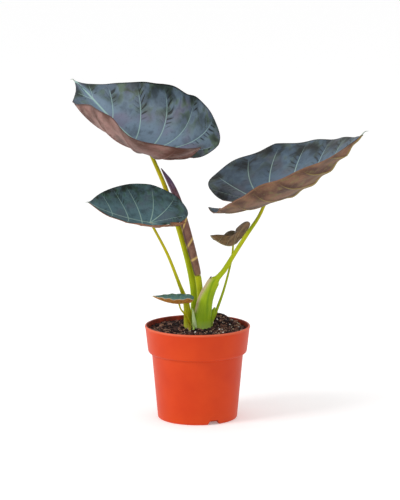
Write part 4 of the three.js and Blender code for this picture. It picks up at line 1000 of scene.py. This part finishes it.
for name, leaf in BLADES.items():
    upper, under = LEAF_COLOURS[name]
    skins = [upper_skin("waxy_leaf_top_" + name, leaf, **upper),
             under_skin("matt_leaf_back_" + name, leaf, **under)]
    blade = make_blade(name, leaf, skins)
    trim_stalk(bpy.data.objects["petiole_" + name + "_stalk"], leaf)
    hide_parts("blade_" + name)
    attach(blade, "root")
    if leaf["hair"]:
        start = bent_blade(leaf, leaf["left"], 1, np.array([0.95, 1.0]), np.zeros(2))
        stations = [(*start[0], 0.7), (*start[1], 0.55)]
        stations += [(*(start[1] + reach), radius) for *reach, radius in leaf["hair"]]
        points, faces = tapered_tube(stations)
        drip_tip = make_piece("drip_tip_" + name, points, faces, [dry_tip])
        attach(drip_tip, "root")

# The rolled new leaf: a young blade still rolled into a slim spindle above its own petiole, with
# its free edge lapping over in a slow spiral, and pale bands where its veins wrap round.
ROLL_SIDES = 56
ROLL_THICKNESS = 0.7
ROLL_TURNS = 1.22
ROLL_LAP = 0.16  # how far one turn winds inwards, as a share of the radius
ROLL_SEAM_START = (200, 270)  # degrees round the spindle, at its foot and at its tip
ROLL_SEAM_REACH = 3.3  # about the spindle's radius
# Stations up the spindle: x, y, z and radius.
ROLL_STATIONS = [
    (0.4, 1.1, 144, 3.1), (-0.4, 1.1, 148, 3.8), (-4.3, 1.5, 163, 4.5), (-8.7, 2, 179.2, 4.9),
    (-13.6, 2.5, 198, 4.6), (-17.9, 2.8, 214, 4), (-23.1, 3, 228.2, 3.6),
    (-28.2, 3, 238.6, 2.9), (-32.4, 3, 245.4, 1.7), (-35.9, 3, 251.2, 0.5)]

frames = list(frames_along(ROLL_STATIONS, 14, (0, 1, 0)))
share = np.linspace(0, 1, len(frames))
turn = np.linspace(0, 1, ROLL_SIDES)
rings = []
for ((x, y, z, radius), across, inward), gone in zip(frames, share):
    start = math.radians(np.interp(gone, (0, 1), ROLL_SEAM_START))
    angle = start + turn * 2 * math.pi * ROLL_TURNS
    outer = max(radius, 0.4) * (1 - ROLL_LAP * turn * ROLL_TURNS)
    inner = (outer - ROLL_THICKNESS * min(1, radius / 2)).clip(0.12)
    reach = np.r_[outer, inner[::-1]]
    angle = np.r_[angle, angle[::-1]]
    rings.append(np.array([x, y, z]) + np.outer(reach * np.cos(angle), across)
                 + np.outer(reach * np.sin(angle), inward))
points, faces = ringed_body(rings)

# Young leaf tissue: satin maroon-brown over green, turning violet at the tip. Cream bands cross it
# aslant where veins wrap round, the lap's free edge is dark, painted shadow darkens the spindle's
# left side, and the foot is still yellow-green.
# Each band: share of the length up the spindle, half width as such a share, and slant.
ROLL_BANDS = [(0.037, 0.01, 0.01), (0.205, 0.011, 0.006), (0.315, 0.012, 0.02),
              (0.43, 0.012, 0.03)]
roll_skin, tree, shader = new_material(
    "young_rolled_leaf", Roughness=0.5, IOR=1.45, Specular_IOR_Level=0.3)
place = add_node(tree, "ShaderNodeTexCoord").outputs["Object"]
along, around, dark_edge_and_side_shadow = (
    add_node(tree, "ShaderNodeAttribute", attribute_name=word).outputs["Fac"]
    for word in ("along", "around", "dark_edge_and_side_shadow"))
mottle = add_node(tree, "ShaderNodeTexNoise", {"Vector": place, "Scale": 1000 / 4, "Detail": 4.0})
ripened = add_node(tree, "ShaderNodeValToRGB", {0: along}, [
    (0.0, "#93901c"), (0.03, "#8b8226"), (0.06, "#806048"), (0.4, "#7a5348"), (0.6, "#6b4a4a"),
    (0.75, "#5b4566"), (0.93, "#4f3c58"), (1.0, "#2f2626")])
skin = coated(tree, ripened, ("#553328", 0.6, (mottle, 0.42, 0.68)),
              ("#94785a", 0.4, (mottle, 0.45, 0.3)))
for at, half_width, slant in ROLL_BANDS:
    slanted = add_node(tree, "ShaderNodeMath", {0: around, 1: -slant, 2: along},
                       operation="MULTIPLY_ADD")
    gap = add_node(tree, "ShaderNodeMath", {0: slanted, 1: at}, operation="SUBTRACT")
    off = add_node(tree, "ShaderNodeMath", {0: gap}, operation="ABSOLUTE")
    skin = coated(tree, skin, ("#c8ab62", 0.88, (off, half_width, 0.35 * half_width)))
skin = add_node(tree, "ShaderNodeMix", {"Factor": dark_edge_and_side_shadow, "A": skin, "B": linear("#38231d")},
                data_type="RGBA")
surfaced(tree, shader, skin, mottle, 0.4, 0.0006)

roll = make_piece("rolled_leaf_spindle", points, faces, [roll_skin])
count = 2 * ROLL_SIDES
ring_points = np.array(points)[:count * len(rings)]
offsets = ring_points - np.repeat([place[:3] for place, _, _ in frames], count, axis=0)
add_values(roll, "along", np.repeat(share, count))
add_values(roll, "around", offsets[:, 0] / ROLL_SEAM_REACH)
near_lap = np.zeros(count)
near_lap[:3] = near_lap[-3:] = 1
# Painted shadow down the spindle's left side.
left_side = ramp(offsets[:, 0], -1.44, -3.04)
add_values(roll, "dark_edge_and_side_shadow", 0.75 * np.maximum(np.tile(near_lap, len(rings)), 0.6 * left_side))
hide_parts("rolled_leaf")
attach(roll, "root")

# The floor, the light and the camera: a plain pale studio floor under soft white light, brighter
# from the upper left, seen as the photograph shows it.
bpy.ops.mesh.primitive_circle_add(vertices=128, radius=14, fill_type="NGON")
floor = bpy.context.object
floor.name = "studio_floor"
# White paper: matt, and lit a little from behind.
floor_paint, tree, shader = new_material("matt_white_floor", Roughness=0.9)
shader.inputs["Base Color"].default_value = (0.96, 0.96, 0.96, 1)
shader.inputs["Emission Color"].default_value = (1, 1, 1, 1)
shader.inputs["Emission Strength"].default_value = 0.2
floor.data.materials.append(floor_paint)
floor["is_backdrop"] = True
world = bpy.data.worlds.new("studio")
bpy.context.scene.world = world
world.use_nodes = True
world.node_tree.nodes["Background"].inputs["Color"].default_value = (1, 1, 1, 1)
world.node_tree.nodes["Background"].inputs["Strength"].default_value = 0.82
# Each soft box: place, size in metres, power in watts.
for name, at, size, power in (
        ("key_softbox", (-1.7, -0.9, 1.3), 0.8, 22),
        ("fill_softbox", (1.4, -1.2, 0.9), 1.2, 1)):
    light = bpy.data.lights.new(name, "AREA")
    light.size = size
    light.energy = power
    lamp = bpy.data.objects.new(name, light)
    bpy.context.scene.collection.objects.link(lamp)
    lamp.location = at
    aim = np.array([0, 0, 0.15]) - np.array(at)
    lamp.rotation_euler = (math.atan2(math.hypot(aim[0], aim[1]), -aim[2]), 0,
                           math.atan2(aim[1], aim[0]) - math.pi / 2)
CAMERA_DISTANCE = 2.3
CAMERA_HEIGHT = 0.562
CAMERA_SIDE = 0.0025
CAMERA_TILT = 9.68  # degrees downwards
LENS = 168.84  # millimetres, for a 36 mm sensor over the frame's height
view = bpy.data.cameras.new("camera")
view.lens = LENS
view.sensor_fit = "AUTO"
view.sensor_width = 36
view.clip_end = 60
camera = bpy.data.objects.new("camera", view)
bpy.context.scene.collection.objects.link(camera)
camera.location = (CAMERA_SIDE, -CAMERA_DISTANCE, CAMERA_HEIGHT)
camera.rotation_euler = (math.radians(90 - CAMERA_TILT), 0, 0)
bpy.context.scene.camera = camera
bpy.context.scene.view_settings.view_transform = "Standard"

bpy.context.view_layer.update()
[[list(map(float, corner)) for corner in box] for box in (cad_box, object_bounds())]
